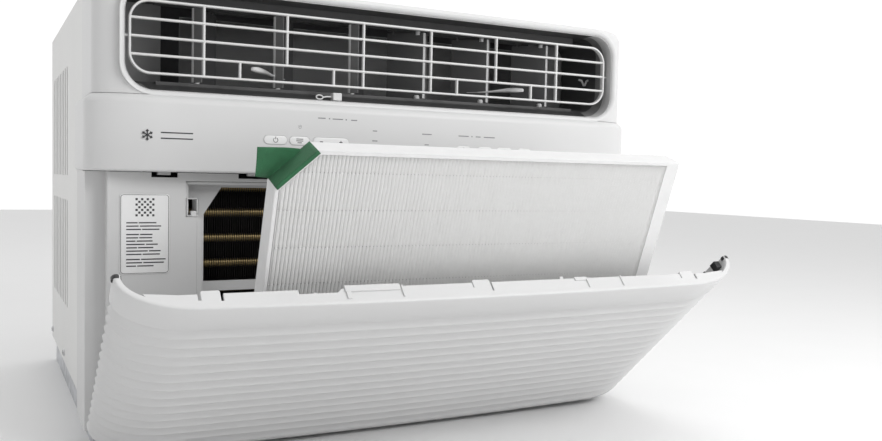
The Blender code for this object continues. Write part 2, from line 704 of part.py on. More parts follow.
def filter_media(base):
    """Pleated paper inside the border."""
    x0, x1 = FILTER_X[0] + 2.0, FILTER_X[1] - 2.0
    z0, top = FILTER_FOOT_Z + 2.0, FILTER_FOOT_Z + FILTER_HEIGHT - 2.0
    near, far = FILTER_Y - FILTER_DEEP / 2 + 0.6, FILTER_Y + FILTER_DEEP / 2 - 0.6
    step = (x1 - x0) / PLEATS
    front, back = [], []
    for i in range(2 * PLEATS + 1):
        x = x0 + step * i / 2
        crest = i % 2 == 0
        front.append((x, near if crest else near + 5.0))
        back.append((x, far - 5.0 if crest else far))
    outline = front + list(reversed(back))

    def top_at(x):
        return min(top, top - FILTER_CHAMFER + (x - x0) * 1.0)

    lower = [(x, y, z0) for x, y in outline]
    upper = [(x, y, top_at(x)) for x, y in outline]
    edit = bmesh.new()
    low = [edit.verts.new(point) for point in lower]
    high = [edit.verts.new(point) for point in upper]
    count = len(outline)
    half = count // 2
    for i in range(count):
        j = (i + 1) % count
        edit.faces.new((low[i], low[j], high[j], high[i]))
    for i in range(half - 1):
        j = count - 1 - i
        edit.faces.new((low[i + 1], low[i], low[j], low[j - 1]))
        edit.faces.new((high[i], high[i + 1], high[j - 1], high[j]))
    swing(place("filter_media", edit, MEDIA), base)


def filter_pull_tab(base):
    """Ribbon tab wrapped over the filter's cut corner, as one plain solid."""
    x0 = FILTER_X[0]
    top = FILTER_FOOT_Z + FILTER_HEIGHT
    drop = FILTER_CHAMFER
    outline = [
        (x0 - 13.2, top + 0.4), (x0 - 12.6, top - 17.6), (x0 - 4.4, top - 17.6),
        (x0 - 0.9, top - drop + 0.2), (x0 + drop - 0.2, top + 0.9), (x0 + drop - 1.4, top + 2.0),
        (x0 + 12.0, top + 1.2),
    ]
    near = FILTER_Y - FILTER_DEEP / 2
    far = near + 3.2
    swing(place("filter_pull_tab", prism(outline, "Y", near, far), RIBBON), base)


def filter_carriage(base):
    """Cradle under the filter: a cross bar with an ear at each end that takes the filter's pin."""
    z = FILTER_FOOT_Z + FILTER_PIVOT_RISE
    left, right = FILTER_X[0] - 3.0, FILTER_X[1] + 3.0
    bar = box((left - 2, right + 2), (-185.3, -181.0), (z - 17.0, z - 12.4))
    made = place("filter_carriage", bar, PLASTIC)
    for x in (left, right):
        ear = [(-185.3, z - 17), (-174.5, z - 17), (FILTER_Y + 4.6, z - 4), (FILTER_Y + 4.6, z + 4.4),
               (FILTER_Y - 4.6, z + 4.4), (-185.3, z - 8)]
        join(made, prism(ear, "X", x - 2, x + 2))
        cut(made, rod("X", (x, FILTER_Y, z), 2.35, -6, 6, 12))
    swing(made, base)


def open_front():
    """The panel, and the filter that rides on it, moved from closed to where they rest."""
    panel_axis = pivot("panel_axis", (0, HINGE_Y, HINGE_Z))
    lift_axis = pivot("filter_lift", (0, FILTER_Y, FILTER_FOOT_Z + FILTER_PIVOT_RISE))
    lean_axis = pivot("filter_pin", (0, FILTER_Y, FILTER_FOOT_Z + FILTER_PIVOT_RISE))
    hang(lift_axis, panel_axis)
    hang(lean_axis, lift_axis)
    bpy.context.view_layer.update()
    front_panel(panel_axis)
    panel_fittings(panel_axis)
    filter_carriage(lift_axis)
    filter_frame(lean_axis)
    filter_media(lean_axis)
    filter_pull_tab(lean_axis)
    lean_axis.rotation_euler.x = FILTER_LEAN - PANEL_OPEN
    lift_axis.location.z += FILTER_LIFT * MM
    panel_axis.rotation_euler.x = PANEL_OPEN
    bpy.context.view_layer.update()


# ---------------------------------------------------------------- inside

def evaporator():
    """Finned block with a groove for each tube, and the serpentine that lies in them."""
    near, far = COIL_Y
    low, high = COIL_Z
    rows = [TUBE_TOP_Z - TUBE_PITCH * i for i in range(TUBE_ROWS)]
    outline = [(far, low), (far, high), (near, high)]
    groove = TUBE_RADIUS + 0.6
    for z in rows:
        for step in range(5):
            angle = math.radians(90 - 180 * step / 4)
            outline.append((near + groove * math.cos(angle), z + groove * math.sin(angle)))
    outline.append((near, low))
    place("evaporator_fins", prism(outline, "X", COIL_X[0], COIL_X[1]), FIN_METAL)
    route = []
    bend = TUBE_PITCH / 2
    for i, z in enumerate(rows):
        start, end = COIL_X[0] - 2, COIL_X[1] + 2
        if i % 2:
            start, end = end, start
        side = 1 if end > start else -1
        route += [(start, near, z), (end, near, z)]
        if i < TUBE_ROWS - 1:
            for step in range(1, 5):
                angle = math.radians(180 * step / 5)
                route.append((end + side * bend * math.sin(angle), near, z - bend + bend * math.cos(angle)))
    tube("evaporator_tube", route, TUBE_RADIUS, COPPER, smooth_turns=1)


def scroll_housing():
    """Foam block hollowed as a scroll round the blower, open to the duct above."""
    cx, cz = FAN_X, FAN_Z
    made = place("scroll_housing", box((-172, 172), (-104.6, -21.0), (26, 333)), FOAM)
    spiral = []
    for i in range(25):
        turn = math.radians(-20 - 230 * i / 24)
        reach = 98 + 34 * i / 24
        spiral.append((cx + reach * math.cos(turn), cz + reach * math.sin(turn)))
    cavity = spiral + [(-160, 262), (-160, 328), (160, 328), (160, 262), (cx + 98, 200)]
    cut(made, prism(cavity, "Y", -100.0, -10.0))
    cut(made, rod("Y", (cx, 0, cz), 80, -120, -90, 28))
    cut(made, box((-158, 158), (-120, -90), (264, 326)))


def blower_wheel(base):
    """Squirrel-cage wheel: hub plate, blades and front ring."""
    cx, cz = FAN_X, FAN_Z
    hub = [(5.2, -38), (88, -38), (88, -36), (13, -34), (13, -26), (5.2, -26)]
    made = place("blower_wheel", turned(hub, "Y", (cx, 0, cz), 36), DARK_PLASTIC, smooth=35)
    cut(made, rod("Y", (cx, 0, cz), 5.2, -50, -10, 16))
    for i in range(24):
        blade = box((76, 87), (-92, -37), (-0.8, 0.8))
        turn = Matrix.Rotation(math.tau * i / 24, 4, "Y")
        bmesh.ops.transform(blade, matrix=Matrix.Translation((cx, 0, cz)) @ turn, verts=blade.verts)
        join(made, blade)
    ring = frame_ring(circle(cx, cz, 88, 36), circle(cx, cz, 75, 36), "Y", -94, -91.5)
    join(made, ring)
    swing(made, base)


def condenser_fan(base):
    """Axial fan with the slinger ring that throws pan water on the coil."""
    cx, cz = FAN_X, FAN_Z
    made = place("condenser_fan", rod("Y", (cx, 0, cz), 22, 92, 116, 24), DARK_PLASTIC, smooth=35)
    for i in range(5):
        blade = box((18, 112), (-1.0, 1.0), (-26, 26))
        pitch = Matrix.Rotation(math.radians(24), 4, "X")
        turn = Matrix.Rotation(math.tau * i / 5, 4, "Y")
        where = Matrix.Translation((cx, 104, cz)) @ turn @ pitch
        bmesh.ops.transform(blade, matrix=where, verts=blade.verts)
        join(made, blade)
    join(made, frame_ring(circle(cx, cz, 121, 36), circle(cx, cz, 109, 36), "Y", 102, 106))
    cut(made, rod("Y", (cx, 0, cz), 4.3, 80, 130, 16))
    swing(made, base)


def fan_drive():
    """Motor, its bracket, the through shaft and both wheels."""
    cx, cz = FAN_X, FAN_Z
    base = pivot("fan_axis", (cx, 0, cz))
    swing(place("fan_shaft", rod("Y", (cx, 0, cz), 4.0, -60, 122, 16), STEEL, smooth=35), base)
    blower_wheel(base)
    condenser_fan(base)
    profile = [(14, -12), (40, -12), (44, -8), (44, 58), (40, 62), (14, 62)]
    made = place("fan_motor", turned(profile, "Y", (cx, 0, cz), 28), BLACK_PAINT, smooth=35)
    cut(made, rod("Y", (cx, 0, cz), 4.6, -30, 80, 16))
    post = [
        (cx - 30, SHEET + GAP), (cx + 30, SHEET + GAP), (cx + 30, 86), (cx + 18, 103), (cx - 18, 103),
        (cx - 30, 86),
    ]
    made = place("motor_bracket", prism(post, "Y", 14, 36), GALVANISED)
    cut(made, rod("Y", (cx, 0, cz), 44.4, 0, 60, 28))


def condenser():
    """Rear coil, and the shroud that rings the fan."""
    place("condenser_coil", box((-214, 214), (152, 186), (14, 322)), FIN_METAL)
    made = place("fan_shroud", box((-221, 221), (126, 127.5), (SHEET + GAP, 332)), GALVANISED)
    cut(made, rod("Y", (FAN_X, 0, FAN_Z), 126, 100, 150, 36))
    cut(made, rod("Y", (207, 0, 268), 6, 100, 150, 12))


def compressor():
    """Sealed compressor on three grommets, with its accumulator and pipes."""
    x, y = 165.0, 36.0
    shell = [(0, 34), (34, 34), (46, 40), (48, 52), (48, 176), (43, 192), (26, 204), (0, 208)]
    made = place("compressor", turned(shell, "Z", (x, y, 0), 24), BLACK_PAINT, smooth=35)
    corners = [math.radians(angle) for angle in (90, 210, 330)]
    foot = [(x + 56 * math.cos(angle), y + 50 * math.sin(angle)) for angle in corners]
    join(made, prism(foot, "Z", 30, 36))
    seat = place("compressor_mount", prism(foot, "Z", SHEET + GAP, 6), RUBBER)
    grommet = [(0, 4), (9, 4), (7, 16), (9, 29.7), (0, 29.7)]
    for angle in corners:
        where = (x + 42 * math.cos(angle), y + 36 * math.sin(angle), 0)
        join(seat, turned(grommet, "Z", where, 14))
    bottle = [(0, 70), (10, 72), (15, 80), (15, 150), (10, 158), (0, 160)]
    place("accumulator", turned(bottle, "Z", (92, 14, 0), 18), COPPER, smooth=35)
    route = [
        (180, 38, 206.8), (180, 38, 226), (184, 44, 246), (196, 70, 262), (206, 110, 268), (207, 130, 268),
        (207, 151.5, 268),
    ]
    tube("discharge_pipe", route, 3.2, COPPER)


def control_box():
    """Electrics tray behind the label plate."""
    made = place("control_box", box((-228, -176), (-156, -112), (30, 190)), GREY_PLASTIC)
    cut(made, box((-226, -178), (-150, -106), (32, 188)))


def cord_gland():
    """Grommet where the supply cord enters the right wall."""
    profile = [(0, -7), (10, -7), (11, -3.1), (8.0, -3.1), (8.0, 0), (11, 0), (10.2, 1.3), (0, 1.3)]
    made = place("cord_gland", turned(profile, "X", CORD_INLET, 20), RUBBER, smooth=35)
    cut(made, rod("X", CORD_INLET, 3.6, -12, 12, 16))


def main():
    for old in list(bpy.data.objects):
        bpy.data.objects.remove(old, do_unlink=True)
    front_bezel()
    control_fascia()
    buttons()
    control_board()
    intake_frame()
    filter_recess()
    latch_catches()
    info_label()
    base_pan()
    drain_plug()
    cabinet()
    rear_guard()
    bulkhead()
    air_duct()
    vane_rails()
    louver_grid()
    vanes()
    vane_links()
    outlet_sensor()
    hinge_pins()
    open_front()
    evaporator()
    scroll_housing()
    fan_drive()
    condenser()
    compressor()
    control_box()
    cord_gland()


main()
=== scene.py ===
import json
import math
import random

import bmesh
import bpy
from mathutils import Matrix, Vector


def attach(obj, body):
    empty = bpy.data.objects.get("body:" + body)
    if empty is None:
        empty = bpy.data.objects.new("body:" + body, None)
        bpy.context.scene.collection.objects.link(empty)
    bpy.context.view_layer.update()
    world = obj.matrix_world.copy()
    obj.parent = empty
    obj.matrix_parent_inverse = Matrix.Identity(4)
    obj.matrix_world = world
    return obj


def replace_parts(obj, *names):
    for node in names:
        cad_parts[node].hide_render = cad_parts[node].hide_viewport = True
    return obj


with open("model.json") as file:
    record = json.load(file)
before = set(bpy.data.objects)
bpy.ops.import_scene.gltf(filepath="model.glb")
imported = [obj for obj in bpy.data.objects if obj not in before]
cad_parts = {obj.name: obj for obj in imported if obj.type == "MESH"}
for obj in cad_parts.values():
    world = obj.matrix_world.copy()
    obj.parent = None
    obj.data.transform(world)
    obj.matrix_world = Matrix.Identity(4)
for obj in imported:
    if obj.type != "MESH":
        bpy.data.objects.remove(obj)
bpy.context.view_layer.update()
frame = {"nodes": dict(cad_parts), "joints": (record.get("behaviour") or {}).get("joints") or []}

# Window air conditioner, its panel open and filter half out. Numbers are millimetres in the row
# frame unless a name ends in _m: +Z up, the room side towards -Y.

MM = 0.001
JOINTS = {joint["name"]: joint for joint in frame["joints"]}
NODES = frame["nodes"]

HALF_WIDTH, HEIGHT = 235.0, 340.0
FRONT_Y, BOW = -194.0, 1.9
CORNER_ALONG, CORNER_DEEP = 50.0, 26.0
SHELL_BACK_Y = -110.0

OPENING_X, OPENING_Z, OPENING_RADIUS = 209.9, (260.0, 332.5), 19.0
GRID_Y, GRID_X, GRID_Z, GRID_RADIUS = -177.0, 206.8, (271.3, 324.0), 15.0
VANES_X = (-154.5, -92.2, -29.9, 29.9, 92.2, 154.5)
VANE_Y, VANE_Z = -152.0, (269.6, 324.6)
VANE_AIM = (-45, -45, -45, 52, 52, 52)
FACE_Y = -177.0

HINGE = [v / MM for v in JOINTS["panel_open"]["pos_m"]]
PANEL_OPEN = math.radians(-JOINTS["panel_open"]["range_deg"][0])
PIVOT = [v / MM for v in JOINTS["filter_tilt"]["pos_m"]]
PANEL_INSET, PANEL_TOP, PANEL_BACK_Y = 1.6, 201.5, -164.5
RIB_TOP, RIB_PITCH, RIB_COUNT, RIB_DEEP = 178.6, 10.2, 15, 3.1
LEDGE_Y = -180.0

FILTER_X, FILTER_Z = (-143.9, 163.1), (50.0, 177.0)
FILTER_Y, FILTER_DEEP, FILTER_CHAMFER = -172.7, 17.0, 24.0
PLEATS = 119  # across the filter, 2.54 mm apart
TUBE_PITCH = 19.4  # between the coil tubes, one above the other
EAR_X, EAR_HALF = 206, 2  # the panel's hinge ears: middle and half width
FILTER_LEAN = math.radians(20.0)

BUTTONS = {
    "power_button": (-114.2, -96.6, 224.8, 231.3),
    "mode_button": (-94.8, -79.2, 224.8, 231.3),
    "temperature_rocker": (-76.6, -47.9, 224.8, 231.3),
    "fan_button": (46.5, 59.8, 222.6, 229.1),
    "sleep_button": (66.7, 80.5, 222.6, 229.1),
    "timer_button": (85.1, 100.0, 222.6, 229.1),
    "eco_button": (106.0, 119.4, 222.6, 229.1),
}


# ---------------------------------------------------------------- materials

def surface(name, colour, roughness, metallic=0.0, grain=1500.0, depth=0.02, strength=0.25,
            mottle=0.02, patch=14.0, stretch=(1, 1, 1), rough_spread=0.05, pattern="noise", **sockets):
    """A material whose colour, gloss and relief all come from noise in the object's own space."""
    made = bpy.data.materials.new(name)
    made.use_nodes = True
    tree = made.node_tree
    shader = tree.nodes["Principled BSDF"]
    shader.inputs["Metallic"].default_value = metallic
    for socket, value in sockets.items():
        shader.inputs[socket.replace("_", " ")].default_value = value
    place = tree.nodes.new("ShaderNodeTexCoord").outputs["Object"]
    scaled = tree.nodes.new("ShaderNodeMapping")
    scaled.inputs["Scale"].default_value = stretch
    tree.links.new(place, scaled.inputs["Vector"])

    fine = tree.nodes.new("ShaderNodeTexVoronoi" if pattern == "voronoi" else "ShaderNodeTexNoise")
    fine.inputs["Scale"].default_value = grain
    tree.links.new(scaled.outputs["Vector"], fine.inputs["Vector"])
    if pattern == "noise":
        fine.inputs["Detail"].default_value = 3.0
    relief = tree.nodes.new("ShaderNodeBump")
    relief.inputs["Strength"].default_value = strength
    relief.inputs["Distance"].default_value = depth * MM
    tree.links.new(fine.outputs[0], relief.inputs["Height"])
    tree.links.new(relief.outputs["Normal"], shader.inputs["Normal"])

    broad = tree.nodes.new("ShaderNodeTexNoise")
    broad.inputs["Scale"].default_value = patch
    broad.inputs["Detail"].default_value = 4.0
    tree.links.new(scaled.outputs["Vector"], broad.inputs["Vector"])
    blend = tree.nodes.new("ShaderNodeValToRGB")
    blend.color_ramp.elements[0].position = 0.3
    blend.color_ramp.elements[1].position = 0.7
    blend.color_ramp.elements[0].color = (*[c * (1 - mottle) for c in colour], 1)
    blend.color_ramp.elements[1].color = (*[min(1.0, c * (1 + mottle)) for c in colour], 1)
    source = fine if pattern == "voronoi" else broad
    tree.links.new(source.outputs[0], blend.inputs["Fac"])
    tree.links.new(blend.outputs["Color"], shader.inputs["Base Color"])

    gloss = tree.nodes.new("ShaderNodeMapRange")
    gloss.inputs["To Min"].default_value = max(0.0, roughness - rough_spread)
    gloss.inputs["To Max"].default_value = min(1.0, roughness + rough_spread)
    tree.links.new(broad.outputs[0], gloss.inputs["Value"])
    tree.links.new(gloss.outputs["Result"], shader.inputs["Roughness"])
    return made


def ribbon_cloth(name, colour):
    """Plain-woven ribbon: two crossed sets of ribs in the relief, on a mottled colour."""
    made = surface(name, colour, 0.75, grain=900, mottle=0.16, patch=90, Sheen_Weight=0.08,
                   Sheen_Roughness=0.5)
    tree = made.node_tree
    place = tree.nodes.new("ShaderNodeTexCoord").outputs["UV"]
    ribs = []
    for direction in ("X", "Y"):
        wave = tree.nodes.new("ShaderNodeTexWave")
        wave.bands_direction = direction
        wave.inputs["Scale"].default_value = 14.0
        wave.inputs["Distortion"].default_value = 0.4
        tree.links.new(place, wave.inputs["Vector"])
        ribs.append(wave)
    weave = tree.nodes.new("ShaderNodeMath")
    weave.operation = "MULTIPLY"
    tree.links.new(ribs[0].outputs["Fac"], weave.inputs[0])
    tree.links.new(ribs[1].outputs["Fac"], weave.inputs[1])
    relief = tree.nodes.new("ShaderNodeBump")
    relief.inputs["Strength"].default_value = 0.5
    relief.inputs["Distance"].default_value = 0.15 * MM
    tree.links.new(weave.outputs[0], relief.inputs["Height"])
    tree.links.new(relief.outputs["Normal"], tree.nodes["Principled BSDF"].inputs["Normal"])
    return made


SHELL = surface("shell_plastic", (0.665, 0.665, 0.665), 0.42, grain=1600, depth=0.02, strength=0.12,
                mottle=0.012, Specular_IOR_Level=0.4)
PANEL = surface("panel_plastic", (0.635, 0.635, 0.635), 0.45, grain=1600, strength=0.12, mottle=0.012)
INTAKE = surface("intake_plastic", (0.62, 0.62, 0.62), 0.5, grain=1400, strength=0.15, mottle=0.02)
RECESS = surface("recess_plastic", (0.62, 0.62, 0.62), 0.5, grain=1400, strength=0.15, mottle=0.02)
BUTTON = surface("button_plastic", (0.80, 0.80, 0.80), 0.3, grain=1600, strength=0.06, mottle=0.01)
GRILLE = surface("grille_plastic", (0.70, 0.70, 0.695), 0.4, grain=1500, strength=0.1, mottle=0.02)
DUCT = surface("duct_plastic", (0.075, 0.075, 0.076), 0.5, grain=1200, strength=0.3, mottle=0.12)
# Pale grey for the vane pins, the duct clip and the grille stubs. It is also painted light on the duct's side
# walls behind the lip and a painted highlight on the vane bends.
PALE_PLASTIC_AND_LIGHT = surface("pale_plastic_and_painted_light", (0.62, 0.62, 0.62), 0.55, grain=1200, strength=0.3, mottle=0.04)
# Mid grey for the duct's mouth band behind the lip: painted light on the same duct, which stays dark deeper
# in.
DUCT_MOUTH_LIGHT = surface("duct_mouth_painted_light", (0.27, 0.27, 0.27), 0.55, grain=1200, strength=0.3, mottle=0.08)
THROAT = surface("throat_plastic", (0.38, 0.38, 0.384), 0.55, grain=1200, strength=0.3, mottle=0.06)
VANE = surface("vane_plastic", (0.055, 0.055, 0.056), 0.48, grain=1200, strength=0.3, mottle=0.1)
# Lighter copy of the vane plastic for the front of the bent flange: painted light.
VANE_FLANGE_LIT = surface("vane_flange_painted_light", (0.13, 0.13, 0.13), 0.45, grain=1200, strength=0.2, mottle=0.08)
LEVER = surface("lever_plastic", (0.62, 0.62, 0.62), 0.45, grain=1200, strength=0.2, mottle=0.05)
PAPER = surface("filter_paper", (0.87, 0.87, 0.865), 0.9, grain=2600, depth=0.03, strength=0.4, mottle=0.015,
                patch=260, Sheen_Weight=0.1)
BORDER = surface("filter_card", (0.70, 0.70, 0.70), 0.8, grain=2200, depth=0.04, strength=0.35, mottle=0.02,
                 patch=120)
GLUE = surface("filter_glue", (0.60, 0.60, 0.595), 0.45, grain=900, strength=0.3, mottle=0.02)
RIBBON = ribbon_cloth("green_ribbon", (0.020, 0.125, 0.050))
THREAD = surface("ribbon_thread", (0.045, 0.19, 0.085), 0.7, grain=3000, strength=0.5, mottle=0.1)
RUBBER = surface("black_rubber", (0.022, 0.022, 0.023), 0.75, grain=1100, strength=0.35, mottle=0.15)
FINS = surface("coated_fins", (0.035, 0.033, 0.030), 0.42, metallic=0.6, grain=1800, mottle=0.25, patch=60)
REAR_FINS = surface("aluminium_fins", (0.50, 0.51, 0.52), 0.38, metallic=0.9, grain=1500, mottle=0.08,
                    patch=40)
TUBE = surface("aged_copper", (0.31, 0.23, 0.105), 0.36, metallic=0.7, grain=700, mottle=0.18, patch=45)
COPPER = surface("copper_pipe", (0.72, 0.36, 0.19), 0.32, metallic=1.0, grain=700, mottle=0.15, patch=40)
ZINC = surface("galvanised_sheet", (0.52, 0.53, 0.55), 0.42, metallic=0.9, grain=90, depth=0.01, mottle=0.14,
               pattern="voronoi", rough_spread=0.1)
PAINT = surface("painted_sheet", (0.72, 0.72, 0.71), 0.48, grain=520, depth=0.05, strength=0.3, mottle=0.02)
BLACK = surface("black_paint", (0.02, 0.02, 0.022), 0.36, grain=420, depth=0.06, strength=0.35, mottle=0.12)
FOAM = surface("moulded_foam", (0.055, 0.055, 0.058), 0.9, grain=330, depth=0.25, strength=0.5, mottle=0.05,
               pattern="voronoi")
BOARD = surface("circuit_board", (0.03, 0.16, 0.07), 0.4, grain=260, mottle=0.2, stretch=(1, 1, 3))
STEEL = surface("turned_steel", (0.56, 0.56, 0.57), 0.3, metallic=1.0, grain=500, mottle=0.06,
                stretch=(1, 12, 1))
LABEL = surface("label_film", (0.83, 0.83, 0.83), 0.38, grain=1200, strength=0.05, mottle=0.01)
INK = surface("print_ink", (0.035, 0.035, 0.038), 0.5, grain=2500, mottle=0.2)
GREY_INK = surface("grey_print", (0.23, 0.23, 0.24), 0.5, grain=2500, mottle=0.12)
# Near-black for the sheets set behind the slots: painted shadow inside the slots.
SHADOW_GAP = surface("painted_slot_shadow", (0.008, 0.008, 0.008), 0.8, grain=900, mottle=0.3)


# ---------------------------------------------------------------- shapes

class Shape:
    """Vertices and faces gathered from lofts, in millimetres."""

    def __init__(self):
        self.verts = []
        self.faces = []
        self.paint = []
        self.slot = 0

    def loft(self, loops, caps=True, closed=True, wrap=False):
        first = len(self.verts)
        count = len(loops[0])
        for loop in loops:
            self.verts.extend(tuple(point) for point in loop)
        rows = len(loops)
        for r in range(rows if wrap else rows - 1):
            low = first + r * count
            high = first + (r + 1) % rows * count
            for i in range(count if closed else count - 1):
                j = (i + 1) % count
                self.faces.append((low + i, low + j, high + j, high + i))
                self.paint.append(self.slot)
        if caps and not wrap:
            self.faces.append(tuple(range(first + count - 1, first - 1, -1)))
            self.faces.append(tuple(first + (rows - 1) * count + i for i in range(count)))
            self.paint.extend((self.slot, self.slot))
        return self

    def prism(self, outline, axis, start, end):
        k = "XYZ".index(axis)
        rings = []
        for depth in (start, end):
            ring = []
            for point in outline:
                spread = list(point)
                spread.insert(k, depth)
                ring.append(spread)
            rings.append(ring)
        return self.loft(rings)

    def box(self, x, y, z):
        return self.prism([(x[0], y[0]), (x[1], y[0]), (x[1], y[1]), (x[0], y[1])], "Z", z[0], z[1])

    def turned(self, profile, axis, centre, steps=32):
        k = "XYZ".index(axis)
        others = [i for i in range(3) if i != k]
        rings = []
        for radius, along in profile:
            ring = []
            for i in range(steps):
                angle = math.tau * i / steps
                point = list(centre)
                point[k] += along
                point[others[0]] += max(radius, 0.01) * math.cos(angle)
                point[others[1]] += max(radius, 0.01) * math.sin(angle)
                ring.append(point)
            rings.append(ring)
        return self.loft(rings)

    def pipe(self, path, radius, steps=10, flat=1.0, closed=False, up=(0, 0, 1)):
        """A round or flattened bar along points."""
        points = [Vector(p) for p in path]
        count = len(points)
        rings = []
        for i, here in enumerate(points):
            before = points[i - 1] if i or closed else here
            after = points[(i + 1) % count] if i < count - 1 or closed else here
            along = (after - before).normalized()
            side = along.cross(Vector(up))
            if side.length < 1e-5:
                side = along.cross(Vector((1, 0, 0)))
            side.normalize()
            lift = side.cross(along).normalized()
            rings.append([
                here + side * radius * math.cos(math.tau * k / steps) + lift * radius * flat * math.sin(
                    math.tau * k / steps)
                for k in range(steps)
            ])
        return self.loft(rings, caps=not closed, wrap=closed)

    def moved(self, matrix):
        self.verts = [tuple(matrix @ Vector(v)) for v in self.verts]
        return self

    def piece(self, name, look, body, smooth=38.0, soften=0.0, segments=2):
        looks = look if isinstance(look, (list, tuple)) else [look]
        mesh = bpy.data.meshes.new(name)
        mesh.from_pydata([Vector(v) * MM for v in self.verts], [], self.faces)
        for each in looks:
            mesh.materials.append(each)
        mesh.polygons.foreach_set("material_index", self.paint)
        edit = bmesh.new()
        edit.from_mesh(mesh)
        bmesh.ops.recalc_face_normals(edit, faces=edit.faces)
        edit.to_mesh(mesh)
        edit.free()
        mesh.shade_smooth()
        mesh.set_sharp_from_angle(angle=math.radians(smooth))
        made = bpy.data.objects.new(name, mesh)
        bpy.context.scene.collection.objects.link(made)
        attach(made, body)
        if soften:
            round_edges(made, soften, segments)
        return made


def round_edges(made, width, segments=2, angle=35.0):
    step = made.modifiers.new("rounded", "BEVEL")
    step.width = width * MM
    step.segments = segments
    step.limit_method = "ANGLE"
    step.angle_limit = math.radians(angle)
    step.use_clamp_overlap = True
    step.harden_normals = False


def carve(made, cutters):
    """Cut shapes out of a piece and keep the result as its mesh."""
    helpers = []
    for shape in cutters:
        mesh = bpy.data.meshes.new("cutter")
        mesh.from_pydata([Vector(v) * MM for v in shape.verts], [], shape.faces)
        edit = bmesh.new()
        edit.from_mesh(mesh)
        bmesh.ops.recalc_face_normals(edit, faces=edit.faces)
        edit.to_mesh(mesh)
        edit.free()
        helper = bpy.data.objects.new("cutter", mesh)
        bpy.context.scene.collection.objects.link(helper)
        helpers.append(helper)
        step = made.modifiers.new("cut", "BOOLEAN")
        step.operation = "DIFFERENCE"
        step.solver = "EXACT"
        step.object = helper
    bpy.context.view_layer.update()
    result = bpy.data.meshes.new_from_object(made.evaluated_get(bpy.context.evaluated_depsgraph_get()))
    made.modifiers.clear()
    made.data = result
    for helper in helpers:
        bpy.data.objects.remove(helper, do_unlink=True)
    result.shade_smooth()
    result.set_sharp_from_angle(angle=math.radians(32))


def rounded(x, z, radius, steps=8):
    """A rounded rectangle's outline, anticlockwise from its lower right corner."""
    points = []
    for cx, cz, turn in ((x[1] - radius, z[0] + radius, -90), (x[1] - radius, z[1] - radius, 0),
                         (x[0] + radius, z[1] - radius, 90), (x[0] + radius, z[0] + radius, 180)):
        for step in range(steps + 1):
            angle = math.radians(turn + 90 * step / steps)
            points.append((cx + radius * math.cos(angle), cz + radius * math.sin(angle)))
    return points


def grown(x, z, radius, by, steps=8):
    """The same outline pushed outwards."""
    return rounded((x[0] - by, x[1] + by), (z[0] - by, z[1] + by), max(radius + by, 0.05), steps)


def plan_curve(inset, back_y, front_steps=40, corner_steps=18):
    """The front's plan from left to right, pushed in by inset."""
    half = HALF_WIDTH - inset
    along, deep = CORNER_ALONG - inset, CORNER_DEEP - inset
    start = half - along
    right = []
    for i in range(front_steps // 2 + 1):
        x = start * i / (front_steps // 2)
        right.append((x, face_y(x, inset)))
    edge = right[-1][1]
    for i in range(1, corner_steps + 1):
        angle = math.radians(90 * i / corner_steps)
        right.append((start + along * math.sin(angle), edge + deep * (1 - math.cos(angle))))
    right.append((half, back_y))
    return [(-x, y) for x, y in reversed(right[1:])] + right


def face_y(x, inset=0.0):
    return FRONT_Y + inset + BOW * (min(abs(x), 200.0) / (HALF_WIDTH - CORNER_ALONG)) ** 2


def sweep(shape, profile, back_y, **steps):
    """A shell round the plan from a closed loop of (inset, z)."""
    rows = [[(x, y, z) for x, y in plan_curve(inset, back_y, **steps)] for inset, z in profile]
    stations = [[row[i] for row in rows] for i in range(len(rows[0]))]
    return shape.loft(stations)


def squarish(count, power):
    """A closed section between a circle and a square, as pairs of factors."""
    turns = [math.tau * k / count for k in range(count)]
    return [tuple(math.copysign(abs(f(t)) ** power, f(t)) for f in (math.cos, math.sin)) for t in turns]


def panel_place():
    """From the closed panel to where it rests."""
    hinge = Matrix.Translation(HINGE)
    return hinge @ Matrix.Rotation(PANEL_OPEN, 4, "X") @ hinge.inverted()


def filter_place():
    """From the filter's closed place to where it rests."""
    closed = Vector((0, FILTER_Y, FILTER_Z[0] + 5.0))
    return Matrix.Translation(Vector((0, PIVOT[1], PIVOT[2]))) @ Matrix.Rotation(FILTER_LEAN, 4, "X") @ (
        Matrix.Translation(-closed))


# ---------------------------------------------------------------- front mouldings

def bezel():
    outer = [(5.0, 256.8), (5.0, 329.0), (5.3, 332.0), (6.3, 335.0), (8.0, 337.4), (10.3, 339.0),
             (13.0, 339.8), (16.5, HEIGHT)]
    shape = Shape().loft([[(x, y, z) for x, y in plan_curve(i, SHELL_BACK_Y)] for i, z in outer])
    made = shape.piece("bezel_shell", SHELL, "housing")
    inner = [(7.5, 250.0), (7.5, 329.0), (8.7, 334.2), (11.5, 336.8), (16.0, 337.5)]
    hollow = Shape().loft([[(x, y, z) for x, y in plan_curve(i, SHELL_BACK_Y + 20)] for i, z in inner])
    lip = 3.6
    wide = (-OPENING_X, OPENING_X)
    mouth = Shape().prism(grown(wide, OPENING_Z, OPENING_RADIUS, lip, 14), "Y", FRONT_Y - 20, -175.0)
    carve(made, [hollow, mouth])
    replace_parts(made, "front_bezel")

    loops = []
    for step in range(9):
        turn = math.radians(90 * step / 8)
        reach, sink = lip * (1 - math.sin(turn)), lip * 1.1 * (1 - math.cos(turn))
        outline = grown(wide, OPENING_Z, OPENING_RADIUS, reach + 0.02, 14)
        loops.append([(x, face_y(x, 5.0) + sink, z) for x, z in outline])
    outline = grown(wide, OPENING_Z, OPENING_RADIUS, 0.0, 14)
    loops.append([(x, -184.6, z) for x, z in outline])
    back = grown(wide, OPENING_Z, OPENING_RADIUS, 1.6, 14)
    loops.append([(x, -184.6, z) for x, z in back])
    back = grown(wide, OPENING_Z, OPENING_RADIUS, lip + 0.3, 14)
    loops.append([(x, face_y(x, 5.0) + 2.2, z) for x, z in back])
    Shape().loft(loops, caps=False, wrap=True).piece("outlet_lip", SHELL, "housing", smooth=60)


